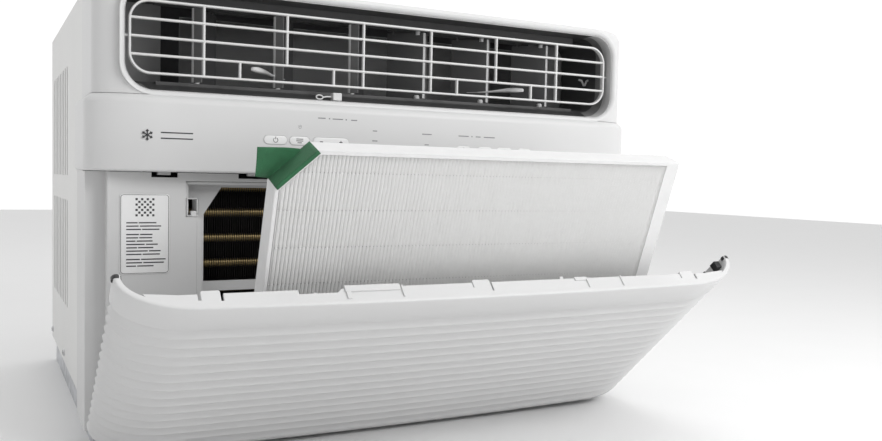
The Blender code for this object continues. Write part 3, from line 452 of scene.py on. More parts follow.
def duct_liner():
    """Dark duct with painted light: a mouth behind the lip painted paler, its side walls there paler still, a
    floor that climbs to the vane rail, and the throat.
    """
    stations = (
        (-184.8, OPENING_X + 0.3, (259.7, 332.8), 19), (-180.0, 210.4, (260.0, 333.0), 19),
        (-172.0, 211.0, (261.5, 333.2), 19), (-160.0, 211.2, (266.0, 333.2), 16),
        (-152.0, 211.2, (268.3, 333.2), 14), (-106.0, 211.2, (268.3, 333.2), 14),
    )
    inner = [[(x, y, z) for x, z in rounded((-half, half), zz, r, 12)] for y, half, zz, r in stations]
    outer = [
        [(x, y, z) for x, z in rounded((-half - 1.4, half + 1.4), (zz[0] - 1.4, min(zz[1] + 1.4, 335.0)),
                                       r + 1, 12)]
        for y, half, zz, r in reversed(stations)
    ]
    shape = Shape().loft(inner + outer, caps=False, wrap=True)
    # Painted light and shade: the first strip behind the lip takes the mid grey mouth colour, and on the side
    # walls the first two strips take the pale grey, so the duct is lighter at its mouth and dark deeper in.
    for k in range(len(shape.faces)):
        strip = k // 52
        at_side = abs(sum(shape.verts[i][0] for i in shape.faces[k]) / 4) > 192.0
        if strip < (3 if at_side else 1):
            shape.paint[k] = 2 if at_side and strip < 2 else 1
    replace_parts(shape.piece("duct_liner", [DUCT, DUCT_MOUTH_LIGHT, PALE_PLASTIC_AND_LIGHT], "housing", smooth=50), "air_duct")

    throat = Shape()
    rows = ((-104.0, 157.5, 264.5, 325.5, 3), (-60.0, 157.0, 258.0, 326.5, 20),
            (-34.0, 150.0, 258.0, 322.0, 24), (-27.0, 132.0, 266.0, 310.0, 18))
    throat.loft([[(x, y, z) for x, z in rounded((-half, half), (low, high), r, 6)]
                 for y, half, low, high, r in rows])
    throat.faces.pop(-2)
    throat.paint.pop()
    loops = [rounded((-half, half), (low, high), r, 6) for half, low, high, r in (
        (157.5, 264.5, 325.5, 3), (212.0, 262.0, 333.6, 3), (212.0, 262.0, 333.6, 3),
        (157.5, 264.5, 325.5, 3))]
    throat.loft([[(x, y, z) for x, z in loop] for loop, y in zip(loops, (-104.0, -104.0, -103.0, -103.0))],
                caps=False, wrap=True)
    throat.piece("throat_liner", THROAT, "housing", smooth=60)

    clip = [(199.5, -150, 297.2), (202.5, -150.4, 296.6), (205.4, -150, 292.4), (207.0, -149.6, 292.4),
            (209.0, -149.4, 296.6), (211.0, -149, 297.4)]
    Shape().pipe(clip, 1.0, 8, up=(0, 1, 0)).piece("duct_clip", PALE_PLASTIC_AND_LIGHT, "housing")


def fascia():
    low, high = 202.8, 253.6
    profile = [
        (16.5, low), (2.2, low), (1.1, low + 0.25), (0.35, low + 0.9), (0.0, low + 2.0), (0.0, 228.0),
        (0.0, high - 3.4), (0.15, high - 2.2), (0.6, high - 1.0), (1.4, high + 0.2), (2.6, high + 1.3),
        (3.9, high + 2.2), (5.0, high + 2.9), (7.5, high + 2.9), (2.6, high - 2.0), (2.5, low + 2.6),
        (16.5, low + 2.6),
    ]
    made = sweep(Shape(), profile, SHELL_BACK_Y).piece("fascia_shell", SHELL, "housing")
    cuts = []
    for left, right, z0, z1 in BUTTONS.values():
        hole = grown((left, right), (z0, z1), (z1 - z0) / 2 - 0.01, 0.16, 10)
        cuts.append(Shape().prism(hole, "Y", FRONT_Y - 5, FRONT_Y + 8))
    carve(made, cuts)
    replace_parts(made, "control_fascia")


def buttons():
    """Pill keys with softly domed faces."""
    for name, (left, right, low, high) in BUTTONS.items():
        middle = (left + right) / 2
        front = face_y(middle)
        body = name + "_body"
        radius = (high - low) / 2 - 0.01
        loops = []
        for shrink, depth in ((0.0, 3.6), (0.0, -0.1), (0.1, -0.3), (0.3, -0.45), (0.7, -0.53)):
            contour = grown((left, right), (low, high), radius, -shrink, 10)
            loops.append([(x, front + depth, z) for x, z in contour])
        key = Shape().loft(loops)
        key.box((left + 1, right - 1), (front + 3.6, front + 4.8), (low - 1.6, high + 1.6))
        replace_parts(key.piece(f"{name}_cap", BUTTON, body, smooth=50), name)


def mark(name, parts, look, body, y_of):
    """Flat print: each part is a polygon in (x, z), a hair in front of the surface it is on."""
    shape = Shape()
    for outline in parts:
        shape.loft([[(x, y_of(x) - 0.05, z) for x, z in outline],
                    [(x, y_of(x) + 0.02, z) for x, z in outline]])
    return shape.piece(name, look, body)


def bar(x, z, width, height):
    return [(x - width / 2, z - height / 2), (x + width / 2, z - height / 2),
            (x + width / 2, z + height / 2), (x - width / 2, z + height / 2)]


def arc(x, z, radius, width, start, end, steps=20):
    """Quads along an arc of a ring."""
    parts = []
    for i in range(steps):
        a, b = (math.radians(start + (end - start) * k / steps) for k in (i, i + 1))
        parts.append([
            (x + radius * math.cos(a), z + radius * math.sin(a)),
            (x + radius * math.cos(b), z + radius * math.sin(b)),
            (x + (radius - width) * math.cos(b), z + (radius - width) * math.sin(b)),
            (x + (radius - width) * math.cos(a), z + (radius - width) * math.sin(a)),
        ])
    return parts


def spoke(x, z, angle, near, far, width):
    """A short bar that points away from (x, z)."""
    c, s = math.cos(math.radians(angle)), math.sin(math.radians(angle))
    half = width / 2
    return [(x + near * c - half * s, z + near * s + half * c),
            (x + near * c + half * s, z + near * s - half * c),
            (x + far * c + half * s, z + far * s - half * c),
            (x + far * c - half * s, z + far * s + half * c)]


def snowflake(x, z, size, width):
    parts = []
    for k in range(6):
        angle = 60 * k + 30
        parts.append(spoke(x, z, angle, 0.0, size, width))
        knee = 0.58 * size
        kx = x + knee * math.cos(math.radians(angle))
        kz = z + knee * math.sin(math.radians(angle))
        for side in (-45, 45):
            parts.append(spoke(kx, kz, angle + side, 0.0, size * 0.34, width * 0.8))
    return parts


def printing():
    """Marks on the fascia and the keys: simple pictures and short bars, with no words."""
    def on_key(name):
        left, right, _, _ = BUTTONS[name]
        front = face_y((left + right) / 2)
        return lambda x: front - 0.53

    mark("power_mark", arc(-105.4, 228.0, 1.9, 0.42, 125, 415) + [bar(-105.4, 229.6, 0.45, 1.9)], INK,
         "power_button_body", on_key("power_button"))
    mark("mode_mark", [bar(-87.0, 228.0 + dz, w, 0.55) for dz, w in ((1.4, 5.4), (0.0, 5.4), (-1.4, 3.4))],
         INK,
         "mode_button_body", on_key("mode_button"))
    mark("rocker_mark", [bar(-70.0, 228.0, 2.6, 0.6), bar(-54.3, 228.0, 2.6, 0.6),
                         bar(-54.3, 228.0, 0.6, 2.6)],
         INK, "temperature_rocker_body", on_key("temperature_rocker"))
    fan = [spoke(53.15, 225.85, a, 0.3, 1.9, 0.9) for a in (90, 210, 330)]
    mark("fan_mark", fan, INK, "fan_button_body", on_key("fan_button"))
    mark("sleep_mark", arc(73.8, 225.85, 1.7, 0.75, 60, 300), INK, "sleep_button_body",
         on_key("sleep_button"))
    clock = arc(92.5, 225.85, 1.8, 0.4, 0, 360) + [bar(92.5, 226.3, 0.35, 1.2), bar(92.9, 225.8, 1.0, 0.35)]
    mark("timer_mark", clock, INK, "timer_button_body", on_key("timer_button"))
    leaf = [[(112.0, 224.2), (113.6, 224.9), (114.2, 227.3), (112.2, 227.0), (111.4, 225.6)]]
    mark("eco_mark", leaf, INK, "eco_button_body", on_key("eco_button"))

    small = arc(-86.7, 238.2, 1.1, 0.3, 0, 360, 14)
    small += [spoke(-86.7, 238.2, a, 1.2, 1.8, 0.3) for a in (45, 90, 135)]
    mark("signal_mark", small, GREY_INK, "housing", face_y)
    rows = []
    for x, z, width in ((-69.7, 245.8, 6.0), (-56.9, 245.6, 8.4), (-43.6, 245.4, 5.0), (-26.1, 238.0, 3.6),
                        (-26.1, 230.3, 4.4), (19.2, 237.3, 8.6), (19.2, 228.9, 3.8), (53.0, 237.2, 9.5),
                        (66.8, 237.1, 4.6), (77.6, 237.0, 10.6)):
        rows.append(bar(x, z, width, 0.75))
    for x, z in ((-63.6, 245.7), (-50.1, 245.5), (60.9, 237.15)):
        rows.append(bar(x, z, 1.0, 1.0))
    mark("band_marks", rows, GREY_INK, "housing", face_y)
    emblem = snowflake(-196.0, 228.2, 3.9, 0.8)
    emblem += [bar(-176.0, 228.2 + dz, 22.0, 0.9) for dz in (2.0, -2.0)]
    mark("emblem", emblem, INK, "housing", face_y)


# ---------------------------------------------------------------- air outlet

def grille():
    """Round-cornered rim, cross bars and uprights, all with rounded fronts."""
    shape = Shape()
    low, high = GRID_Z
    half = GRID_X
    loops = []
    for step in range(14):
        turn = math.tau * step / 14
        reach = -1.0 + 1.0 * math.cos(turn)
        depth = 2.2 * math.sin(turn)
        depth = math.copysign(min(abs(depth) * 1.25, 2.2), depth)
        contour = grown((-half, half), (low, high), GRID_RADIUS, reach, 12)
        loops.append([(x, GRID_Y + depth, z) for x, z in contour])
    shape.loft(loops, caps=False, wrap=True)
    pitch = (high - low - 2.0) / 4
    levels = [low + 1.0 + pitch * i for i in range(5)]

    def strip(x, z, thick, deep):
        """A bar between two corners, its section a rounded flat."""
        section = squarish(12, 0.6)
        if x[0] == x[1]:
            shape.loft([[(x[0] + thick * u, GRID_Y + deep * v, end) for u, v in section] for end in z])
        else:
            shape.loft([[(end, GRID_Y + deep * v, z[0] + thick * u) for u, v in section] for end in x])

    for z in levels[1:4]:
        strip((-half + 1, half - 1), (z, z), 0.95, 1.9)
    for x in (29.9, 92.2, 154.5):
        foot = levels[1] if x == 92.2 else levels[0]
        for side in (-1, 1):
            strip((side * x, side * x), (foot, high - 1), 0.95, 1.7)
    for x in (54.6, 128.1):
        for side in (-1, 1):
            strip((side * x, side * x), (levels[0], levels[1]), 0.95, 1.7)
    shape.slot = 1
    for side in (-1, 1):
        shape.turned([(1.0, -2.0), (1.0, 2.4)], "X", (side * 208.6, GRID_Y + 0.9, sum(GRID_Z) / 2), 16)
    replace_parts(shape.piece("grille_bars", [GRILLE, PALE_PLASTIC_AND_LIGHT], "grille", smooth=60), "louver_grid")


def vanes():
    """Plates with a bent front edge, pins top and bottom, and a finger lever on two of them."""
    low, high = VANE_Z
    blade = [(-0.35, 26.5), (-0.7, 14), (-1.0, 3), (-1.0, -3.4), (-0.8, -4.9), (-0.3, -5.8), (0.6, -6.3),
             (2.0, -6.4), (8.5, -6.4), (8.9, -6.0), (8.5, -5.6), (2.2, -5.2), (1.3, -4.6), (1.0, -3.4),
             (1.0, 3), (0.7, 14), (0.35, 26.5)]
    for i, (x, aim) in enumerate(zip(VANES_X, VANE_AIM)):
        shape = Shape()
        loops = []
        for z, pull in ((low, 0.7), (low + 0.8, 0.0), (high - 0.8, 0.0), (high, 0.7)):
            loops.append([(u, v - pull if v > 20 else v, z) for u, v in blade])
        shape.loft(loops)
        # Painted light: the bend's faces (4 to 6) take the pale grey as a painted highlight, and the flange's
        # front faces (7 to 9) a lighter grey as painted light; the rest of the blade keeps the dark vane
        # plastic.
        looks = [3 if k in (4, 5, 6) else 1 if k in (7, 8, 9) else 0 for k in range(len(blade))]
        shape.paint = looks * 3 + [0, 0]
        shape.slot = 3
        shape.turned([(2.6, low - 0.8), (2.6, low + 1.5), (2.0, low + 2.5)], "Z", (0, 0, 0), 18)
        shape.turned([(2.0, low - 8.5), (2.0, low + 2.0)], "Z", (0, 0, 0), 18)
        shape.turned([(2.0, high - 2.0), (2.0, high + 6.5)], "Z", (0, 0, 0), 18)
        shape.slot = 0
        shape.turned([(1.4, high - 1), (1.4, high + 4.2)], "Z", (0, 22, 0), 14)
        if i in (1, 4):
            rings = []
            for v, z, tall, wide in ((-38.0, 280.4, 0.9, 0.9), (-37.2, 280.5, 1.5, 1.9),
                                     (-31.0, 280.6, 2.1, 2.9), (-24.0, 280.4, 1.9, 2.8),
                                     (-17.0, 279.9, 1.3, 1.9), (-10.0, 279.2, 0.9, 1.3),
                                     (0.0, 278.6, 0.7, 1.1), (12.0, 278.2, 0.4, 0.8)):
                rings.append([(u * wide, v, z + w * tall) for u, w in squarish(16, 0.7)])
            shape.slot = 2
            shape.loft(rings)
        turn = Matrix.Translation((x, VANE_Y, 0)) @ Matrix.Rotation(math.radians(aim), 4, "Z")
        made = shape.moved(turn).piece(f"vane_{i + 1}_blade", [VANE, VANE_FLANGE_LIT, LEVER, PALE_PLASTIC_AND_LIGHT],
                                       f"vane_{i + 1}_body", 40)
        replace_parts(made, f"vane_{i + 1}")


def outlet_sensor():
    shape = Shape()
    shape.box((-56.6, -49.4), (-182.6, -176.6), (260.6, 266.6))
    made = shape.piece("sensor_head", SHELL, "housing", soften=0.5)
    clip = Shape()
    ring = [(-67.6 + 2.7 * math.cos(t), -182.0, 262.6 + 1.6 * math.sin(t)) for t in
            (math.tau * k / 20 for k in range(20))]
    clip.pipe(ring, 0.55, 8, closed=True, up=(0, 1, 0))
    clip.pipe([(-65.0, -181.5, 262.6), (-61.5, -180.5, 263.4), (-57.0, -179.6, 263.6)], 0.6, 8)
    clip.piece("sensor_clip", LEVER, "housing")
    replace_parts(made, "outlet_sensor")


# ---------------------------------------------------------------- intake

def intake_details():
    """Hooks, pocket and edges round the filter recess."""
    pocket = Shape()
    pocket.box((-166.1, -157.8), (-177.4, -176.6), (170.9, 171.7))
    pocket.box((-166.1, -165.3), (-177.4, -174.0), (170.9, 184.2))
    pocket.box((-158.6, -157.8), (-176.9, -160.9), (170.9, 184.2))
    pocket.box((-166.1, -157.8), (-176.9, -174.0), (183.4, 184.2))
    pocket.piece("pocket_rim", INTAKE, "housing", soften=0.2)
    tab = Shape()
    tab.box((-162.8, -158.9), (-177.6, -172.0), (170.6, 174.8))
    tab.piece("pocket_tab", SHELL, "housing", soften=0.5)
    seam = Shape()
    seam.box((-154.9, -154.3), (-177.35, -176.9), (40.0, 169.0))
    seam.box((-158.4, -157.9), (-177.3, -176.9), (30.0, 168.5))
    seam.piece("plate_edge", RECESS, "housing", soften=0.15)
    # Black sheets behind the slots: painted shadow.
    backs = Shape()
    for middle in (-181.4, 0.0, 181.4):
        backs.box((middle - 11, middle + 11), (-166.5, -165.5), (196.0, 202.0))
    backs.box((-130, -99), (-166.5, -165.5), (196.0, 202.0))
    backs.piece("slot_shadows", SHADOW_GAP, "housing")
    hooks = Shape()
    hooks.box((-121.5, -111.0), (-178.4, -174.0), (200.9, 203.1))
    hooks.piece("side_hook", SHELL, "housing", soften=0.3)


def sticker():
    """Printed film with an outline, a block of generic marks and lines that stand for writing."""
    rng = random.Random(7)
    lo, hi = (-212.0, 130.0), (-178.0, 187.0)
    front = FACE_Y - 0.62

    def on_film(x):
        return front

    film = Shape()
    rings = []
    for depth, shrink in ((FACE_Y - 0.3, 0.0), (FACE_Y - 0.5, 0.0), (front, 0.12)):
        rings.append([(x, depth, z) for x, z in rounded((lo[0] + shrink, hi[0] - shrink), (lo[1] + shrink,
                     hi[1] - shrink), 2.5, 6)])
    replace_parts(film.loft(rings).piece("label_sheet", LABEL, "housing"), "info_label")
    outline = []
    big = rounded((lo[0] + 0.5, hi[0] - 0.5), (lo[1] + 0.5, hi[1] - 0.5), 2.2, 6)
    small = rounded((lo[0] + 0.85, hi[0] - 0.85), (lo[1] + 0.85, hi[1] - 0.85), 1.9, 6)
    for k in range(len(big)):
        j = (k + 1) % len(big)
        outline.append([big[k], big[j], small[j], small[k]])
    cells = []
    size = 1.9
    for row in range(7):
        for column in range(7):
            if (row + column) % 2 == 0:
                cells.append(bar(-200.7 + size * column, 183.2 - size * row, size * 0.8, size * 0.8))
    lines = []
    z = 166.5
    while z > 134.0:
        width = rng.uniform(18.0, 28.0)
        gap = rng.uniform(0.35, 0.65) * width
        lines.append(bar(-208.0 + gap / 2, z, gap - 0.8, 0.85))
        lines.append(bar(-208.0 + gap + (width - gap) / 2, z, width - gap - 0.8, 0.85))
        z -= 2.35 if round(z) % 9 else 3.6
    mark("label_outline", outline, INK, "housing", on_film)
    mark("label_pattern", cells, INK, "housing", on_film)
    mark("label_lines", lines, INK, "housing", on_film)


def coil():
    """Thin upright fins threaded on the front coil's tubes."""
    fins = Shape()
    x = -159.0
    while x < 181.0:
        fins.box((x, x + 0.22), (-151.4, -113.0), (46.0, 211.0))
        x += 1.75
    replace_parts(fins.piece("coil_fins", FINS, "housing"), "evaporator_fins")
    rows = [192.0 - TUBE_PITCH * i for i in range(8)]
    tubes = Shape()
    for depth in (-147.0, -128.0):
        for i, z in enumerate(rows):
            tubes.turned([(3.5, -161.0), (3.5, 183.0)], "X", (0, depth, z), 18)
            if i < 7:
                side = 1 if i % 2 == 0 else -1
                end = 183.0 if side > 0 else -161.0
                bend = [(end + side * 9.7 * math.sin(math.pi * k / 10), depth,
                         z - 9.7 + 9.7 * math.cos(math.pi * k / 10)) for k in range(11)]
                tubes.pipe(bend, 3.5, 12, up=(0, 1, 0))
    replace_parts(tubes.piece("coil_tubes", TUBE, "housing"), "evaporator_tube")
    plates = Shape()
    for x in (-161.4, 181.2):
        plates.box((x, x + 1.0), (-149.0, -112.0), (44.5, 212.0))
    plates.piece("coil_end_plates", ZINC, "housing")


# ---------------------------------------------------------------- panel

def panel_profile():
    """Closed section of the fluted panel. Each lap flares down to a ridge and steps back under it."""
    points = [(5.6, PANEL_TOP - 0.6), (5.2, PANEL_TOP - 0.05), (4.0, PANEL_TOP), (2.9, PANEL_TOP),
              (2.3, PANEL_TOP - 0.12), (1.85, PANEL_TOP - 0.45), (PANEL_INSET, PANEL_TOP - 1.1),
              (PANEL_INSET, RIB_TOP + 8.0)]
    z = RIB_TOP
    for _ in range(RIB_COUNT):
        points += [(PANEL_INSET + 0.02, z + 0.9), (PANEL_INSET + 0.2, z + 0.35),
                   (PANEL_INSET + 0.7, z + 0.05)]
        for drop, deep in ((0.3, 1.0), (1.4, 0.98), (3.2, 0.88), (5.0, 0.70), (6.8, 0.45), (8.2, 0.2),
                           (9.0, 0.05)):
            points.append((PANEL_INSET + RIB_DEEP * deep, z - drop))
        z -= RIB_PITCH
    points += [(PANEL_INSET, z + 0.4), (PANEL_INSET + 0.1, 23.0), (2.4, 20.4), (3.9, 17.8), (6.1, 15.4),
               (9.0, 13.8), (12.5, 13.0), (17.0, 13.0), (17.2, 13.6), (17.0, 15.4), (12.6, 15.5), (9.8, 16.4),
               (7.8, 18.2), (6.6, 21.0), (6.0, 24.0), (5.7, 28.0), (5.6, PANEL_TOP - 3.2)]
    return points


def ledge_outline(front_inset):
    """The ledge behind the panel's top edge: tabs, slits, a shallow notch and a straight back."""
    back = LEDGE_Y
    tab = LEDGE_Y + 2.2
    edge = [(-219.0, -178.3), (-206.0, -179.4), (-200.0, back)]
    tabs = ((-187.2, -175.9, 1.8, 4.4, 1.7, 5.2), (-7.9, 5.4, 0.6, 4.0, 1.2, 7.0),
            (174.6, 187.6, 0.9, 4.0, 1.8, 5.0))
    for left, right, slit_left, deep_left, slit_right, deep_right in tabs:
        if left == -7.9:
            edge += [(-129.4, back), (-128.8, back - 3.0), (-104.2, back - 3.0), (-101.2, back - 0.4),
                     (-99.5, back)]
        edge += [(left - slit_left, back), (left - slit_left, back - deep_left), (left, back - deep_left),
                 (left, tab - 0.8), (left + 0.8, tab), (right - 0.8, tab), (right, tab - 0.8),
                 (right, back - deep_right), (right + slit_right, back - deep_right),
                 (right + slit_right, back)]
    edge += [(200.0, back), (206.0, -179.4), (219.0, -178.3)]
    front = []
    for x, y in plan_curve(front_inset, PANEL_BACK_Y, front_steps=40, corner_steps=18):
        if abs(x) <= 219.5 and y < -178.6:
            front.append((x, y))
    return edge + list(reversed(front))


def panel():
    place = panel_place()
    made = sweep(Shape(), panel_profile(), PANEL_BACK_Y, front_steps=36, corner_steps=22).piece(
        "fluted_panel", PANEL, "panel", smooth=50)
    cuts = []
    for side in (-1, 1):
        x = sorted((side * 208.4, side * 229.6))
        cuts.append(Shape().box(x, (HINGE[1] - 4.6, -150.0), (0.0, 16.0)))
    carve(made, cuts)
    made.data.transform(Matrix.Diagonal((1 / MM, 1 / MM, 1 / MM, 1)))
    made.data.transform(place)
    made.data.transform(Matrix.Diagonal((MM, MM, MM, 1)))
    made.data.set_sharp_from_angle(angle=math.radians(50))
    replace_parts(made, "front_panel")

    ledge = Shape()
    outline = ledge_outline(4.6)
    ledge.loft([[(x, y, z) for x, y in outline] for z in (PANEL_TOP - 2.3, PANEL_TOP - 0.12)])
    ledge.moved(place).piece("panel_ledge", PANEL, "panel", soften=0.35)

    ribs = Shape()
    for x, wide in ((-97.5, 3.0), (-60.4, 1.4), (85.4, 1.2), (116.2, 1.2)):
        ribs.box((x - wide / 2, x + wide / 2), (-188.5, LEDGE_Y + 0.2), (PANEL_TOP - 0.3, PANEL_TOP + 0.9))
    ribs.box((-99.5, -62.0), (LEDGE_Y - 3.4, LEDGE_Y + 1.2), (PANEL_TOP - 0.3, PANEL_TOP + 1.1))
    ribs.box((75.0, 85.0), (LEDGE_Y - 2.2, LEDGE_Y + 0.6), (PANEL_TOP - 0.3, PANEL_TOP + 0.7))
    for x in (-68.5, 65.5):
        ribs.box((x - 1.5, x + 1.5), (LEDGE_Y - 3.0, LEDGE_Y + 2.6), (PANEL_TOP - 3.6, PANEL_TOP - 1.0))
    ribs.moved(place).piece("ledge_ribs", PANEL, "panel", soften=0.3)

    webs = Shape()
    for x in (-196, -160, -118, -72, -24, 24, 72, 118, 160, 196):
        webs.loft([
            [(x - 0.8, -188.6, PANEL_TOP - 2.4), (x + 0.8, -188.6, PANEL_TOP - 2.4),
             (x + 0.8, -188.6, PANEL_TOP - 12), (x - 0.8, -188.6, PANEL_TOP - 12)],
            [(x - 0.8, -181.0, PANEL_TOP - 2.4), (x + 0.8, -181.0, PANEL_TOP - 2.4),
             (x + 0.8, -181.0, PANEL_TOP - 4), (x - 0.8, -181.0, PANEL_TOP - 4)],
        ])
    for z in (45.0, 80.0, 115.0, 150.0):
        webs.box((-130.0, 130.0), (-188.9, -187.6), (z, z + 1.4))
    webs.moved(place).piece("panel_webs", PANEL, "panel")

    ears = Shape()
    for side in (-1, 1):
        ear = [(-180.0, 13.8), (-180.0, 9.5), (-176.0, 5.8), (-171.5, 5.8), (-168.9, 9.0), (-168.9, 12.0),
               (-171.0, 15.0), (-174.0, 15.2)]
        ears.prism(ear, "X", side * EAR_X - EAR_HALF, side * EAR_X + EAR_HALF)
    ears.moved(place).piece("hinge_ears", PANEL, "panel", soften=0.4)

    clip = Shape()
    clip.prism([(-172.6, 178.4), (-166.4, 178.4), (-166.4, 183.4), (-172.6, 184.4)], "X", 220.9, 226.3)
    clip.slot = 1
    clip.prism([(-172.3, 184.5), (-167.0, 183.5), (-167.0, 191.0), (-172.3, 191.6)], "X", 221.3, 225.9)
    clip.slot = 0
    clip.prism([(-172.6, 191.8), (-166.4, 191.2), (-166.4, 197.2), (-172.6, 197.2)], "X", 220.9, 226.3)
    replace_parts(clip.moved(place).piece("corner_clip", [BLACK, RECESS], "panel", soften=0.5), "panel_clip")
    cap = Shape()
    cap.turned([(2.9, -2.0), (2.9, 0.2), (2.4, 0.9), (1.2, 1.2)], "Y", (231.6, -165.0, 199.0), 20)
    cap.turned([(2.9, -2.0), (2.9, 0.2), (2.4, 0.9), (1.2, 1.2)], "Y", (-231.6, -165.0, 199.0), 20)
    cap.moved(place).piece("corner_bumpers", BLACK, "panel", smooth=60)


# ---------------------------------------------------------------- back and sides

def rear_fins():
    """Thin upright fins over the condenser's dark core, with a few bent ones."""
    shape = Shape()
    count = 204
    for i in range(count):
        x = -213.4 + 426.8 * i / (count - 1)
        bent = 0.5 * math.sin(i * 2.3) * math.sin(i * 0.71) ** 4
        section = [(-0.16, 185.4), (0.16, 185.4), (0.13, 188.0), (-0.13, 188.0)]
        shape.loft([[(x + u + (bent * (y > 186) if 60 < z < 270 else 0.0), y, z) for u, y in section]
                    for z in (14.8, 96.0, 110.0, 122.0, 321.2)])
    shape.piece("condenser_fins", REAR_FINS, "housing")


def screws():
    """Pan-head screws in the rear guard and along the cabinet's foot."""
    shape = Shape()
    places = [("Y", (x, 193.4, z), 1) for x in (-215.5, 215.5) for z in (34.0, 181.0, 327.0)]
    places += [("X", (side * 229.4, y, 34.0), side) for side in (-1, 1) for y in (-92.0, 50.0, 184.0)]
    for axis, centre, way in places:
        shape.slot = 0
        shape.turned([(3.6, -0.4 * way), (3.6, 0.5 * way), (3.0, 1.1 * way), (1.6, 1.5 * way),
                      (0.0, 1.6 * way)], axis,
                     centre, 20)
        shape.slot = 1
        k = "XYZ".index(axis)
        for long, short in ((2.1, 0.45), (0.45, 2.1)):
            low, high = sorted((centre[k] + 1.0 * way, centre[k] + 1.66 * way))
            spans = [(c - r, c + r) for c, r in zip(centre, (long, long, short))]
            spans[k] = (low, high)
            shape.box(*spans)
    shape.piece("cabinet_screws", [STEEL, BLACK], "housing", smooth=50)


# ---------------------------------------------------------------- filter

def filter_pack():
    """Card border, deep pleats and glue beads across them."""
    place = filter_place()
    x0, x1 = FILTER_X
    z0, z1 = FILTER_Z
    near, far = FILTER_Y - FILTER_DEEP / 2, FILTER_Y + FILTER_DEEP / 2
    cut = FILTER_CHAMFER

    def outline(inside, margin=0.0):
        k = inside * 0.6
        right = x1 - inside - margin
        return [(x0 + inside, z0 + inside), (right, z0 + inside), (right, z1 - inside),
                (x0 + cut + k, z1 - inside), (x0 + inside, z1 - cut - k)]

    border = Shape()
    outer, inner, lip = outline(0.0), outline(1.3), outline(2.4, 9.0)
    border.loft([[(x, y, z) for x, z in ring] for ring, y in (
        (outer, near + 0.3), (outline(0.3), near), (lip, near), (lip, near + 0.7), (inner, near + 0.7),
        (inner, far - 0.7), (lip, far - 0.7), (lip, far), (outline(0.3), far), (outer, far - 0.3))],
        caps=False, wrap=True)
    for x, along in ((x0, (-4.4, 1.0)), (x1, (-1.0, 4.4))):
        border.turned([(2.0, along[0]), (2.0, along[1])], "X", (x, FILTER_Y, z0 + 5.0), 16)
    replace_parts(border.moved(place).piece("filter_border", BORDER, "filter"), "filter_frame")

    pleats = Shape()
    left, right = x0 + 2.2, x1 - 2.2
    step = (right - left) / PLEATS
    front, back = [], []
    for i in range(PLEATS):
        base = left + i * step
        for t, deep in ((0.0, 1.0), (0.26, 0.5), (0.40, 0.08), (0.5, 0.0), (0.60, 0.08), (0.74, 0.5)):
            x = base + t * step
            front.append((x, near + 0.72 + 3.4 * deep))
            back.append((x, far - 0.72 - 3.4 * (1.0 - deep)))
    ring = front + list(reversed(back))

    def top_at(x):
        return min(z1 - 1.4, z1 - cut - 1.0 + (x - x0) * 1.0)

    pleats.verts = [(x, y, z0 + 1.4) for x, y in ring] + [(x, y, top_at(x)) for x, y in ring]
    total, half = len(ring), len(ring) // 2
    for i in range(total):
        j = (i + 1) % total
        pleats.faces.append((i, j, total + j, total + i))
    for i in range(half - 1):
        j = total - 1 - i
        pleats.faces.append((i + 1, i, j, j - 1))
        pleats.faces.append((total + i, total + i + 1, total + j - 1, total + j))
    pleats.paint = [0] * len(pleats.faces)
    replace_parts(pleats.moved(place).piece("filter_pleats", PAPER, "filter", smooth=40), "filter_media")

    beads = Shape()
    for k in range(5):
        z = z0 + 12 + 25.0 * k
        start = x0 + 3.2 if z < z1 - cut else x0 + 3.2 + (z - z1 + cut)
        beads.box((start, x1 - 3.2), (near + 2.6, near + 3.3), (z, z + 0.5))
    beads.moved(place).piece("filter_beads", GLUE, "filter")


def cloth(name, rows, columns, at, look, spread):
    """A sheet of cloth on the filter: at(t, s) gives each point in the closed filter's frame."""
    shape = Shape()
    shape.loft([[at(r / rows, c / columns) for c in range(columns + 1)] for r in range(rows + 1)],
               caps=False, closed=False)
    made = shape.moved(filter_place()).piece(name, look, "filter", smooth=80)
    layer = made.data.uv_layers.new(name="UVMap")
    for loop in made.data.loops:
        r, c = divmod(loop.vertex_index, columns + 1)
        layer.data[loop.index].uv = (r / rows * spread[0], c / columns * spread[1])
    thick = made.modifiers.new("cloth", "SOLIDIFY")
    thick.thickness = 0.45 * MM
    thick.offset = 0.0
    return made


def follow(stops, t):
    """A point along evenly spaced stops, eased through them."""
    spot = min(max(t, 0.0), 0.99999) * (len(stops) - 1)
    k = int(spot)
    f = spot - k
    before, here = Vector(stops[max(k - 1, 0)]), Vector(stops[k])
    there, after = Vector(stops[k + 1]), Vector(stops[min(k + 2, len(stops) - 1)])
    return 0.5 * (2 * here + (there - before) * f + (2 * before - 5 * here + 4 * there - after) * f * f
                  + (3 * here - before - 3 * there + after) * f * f * f)


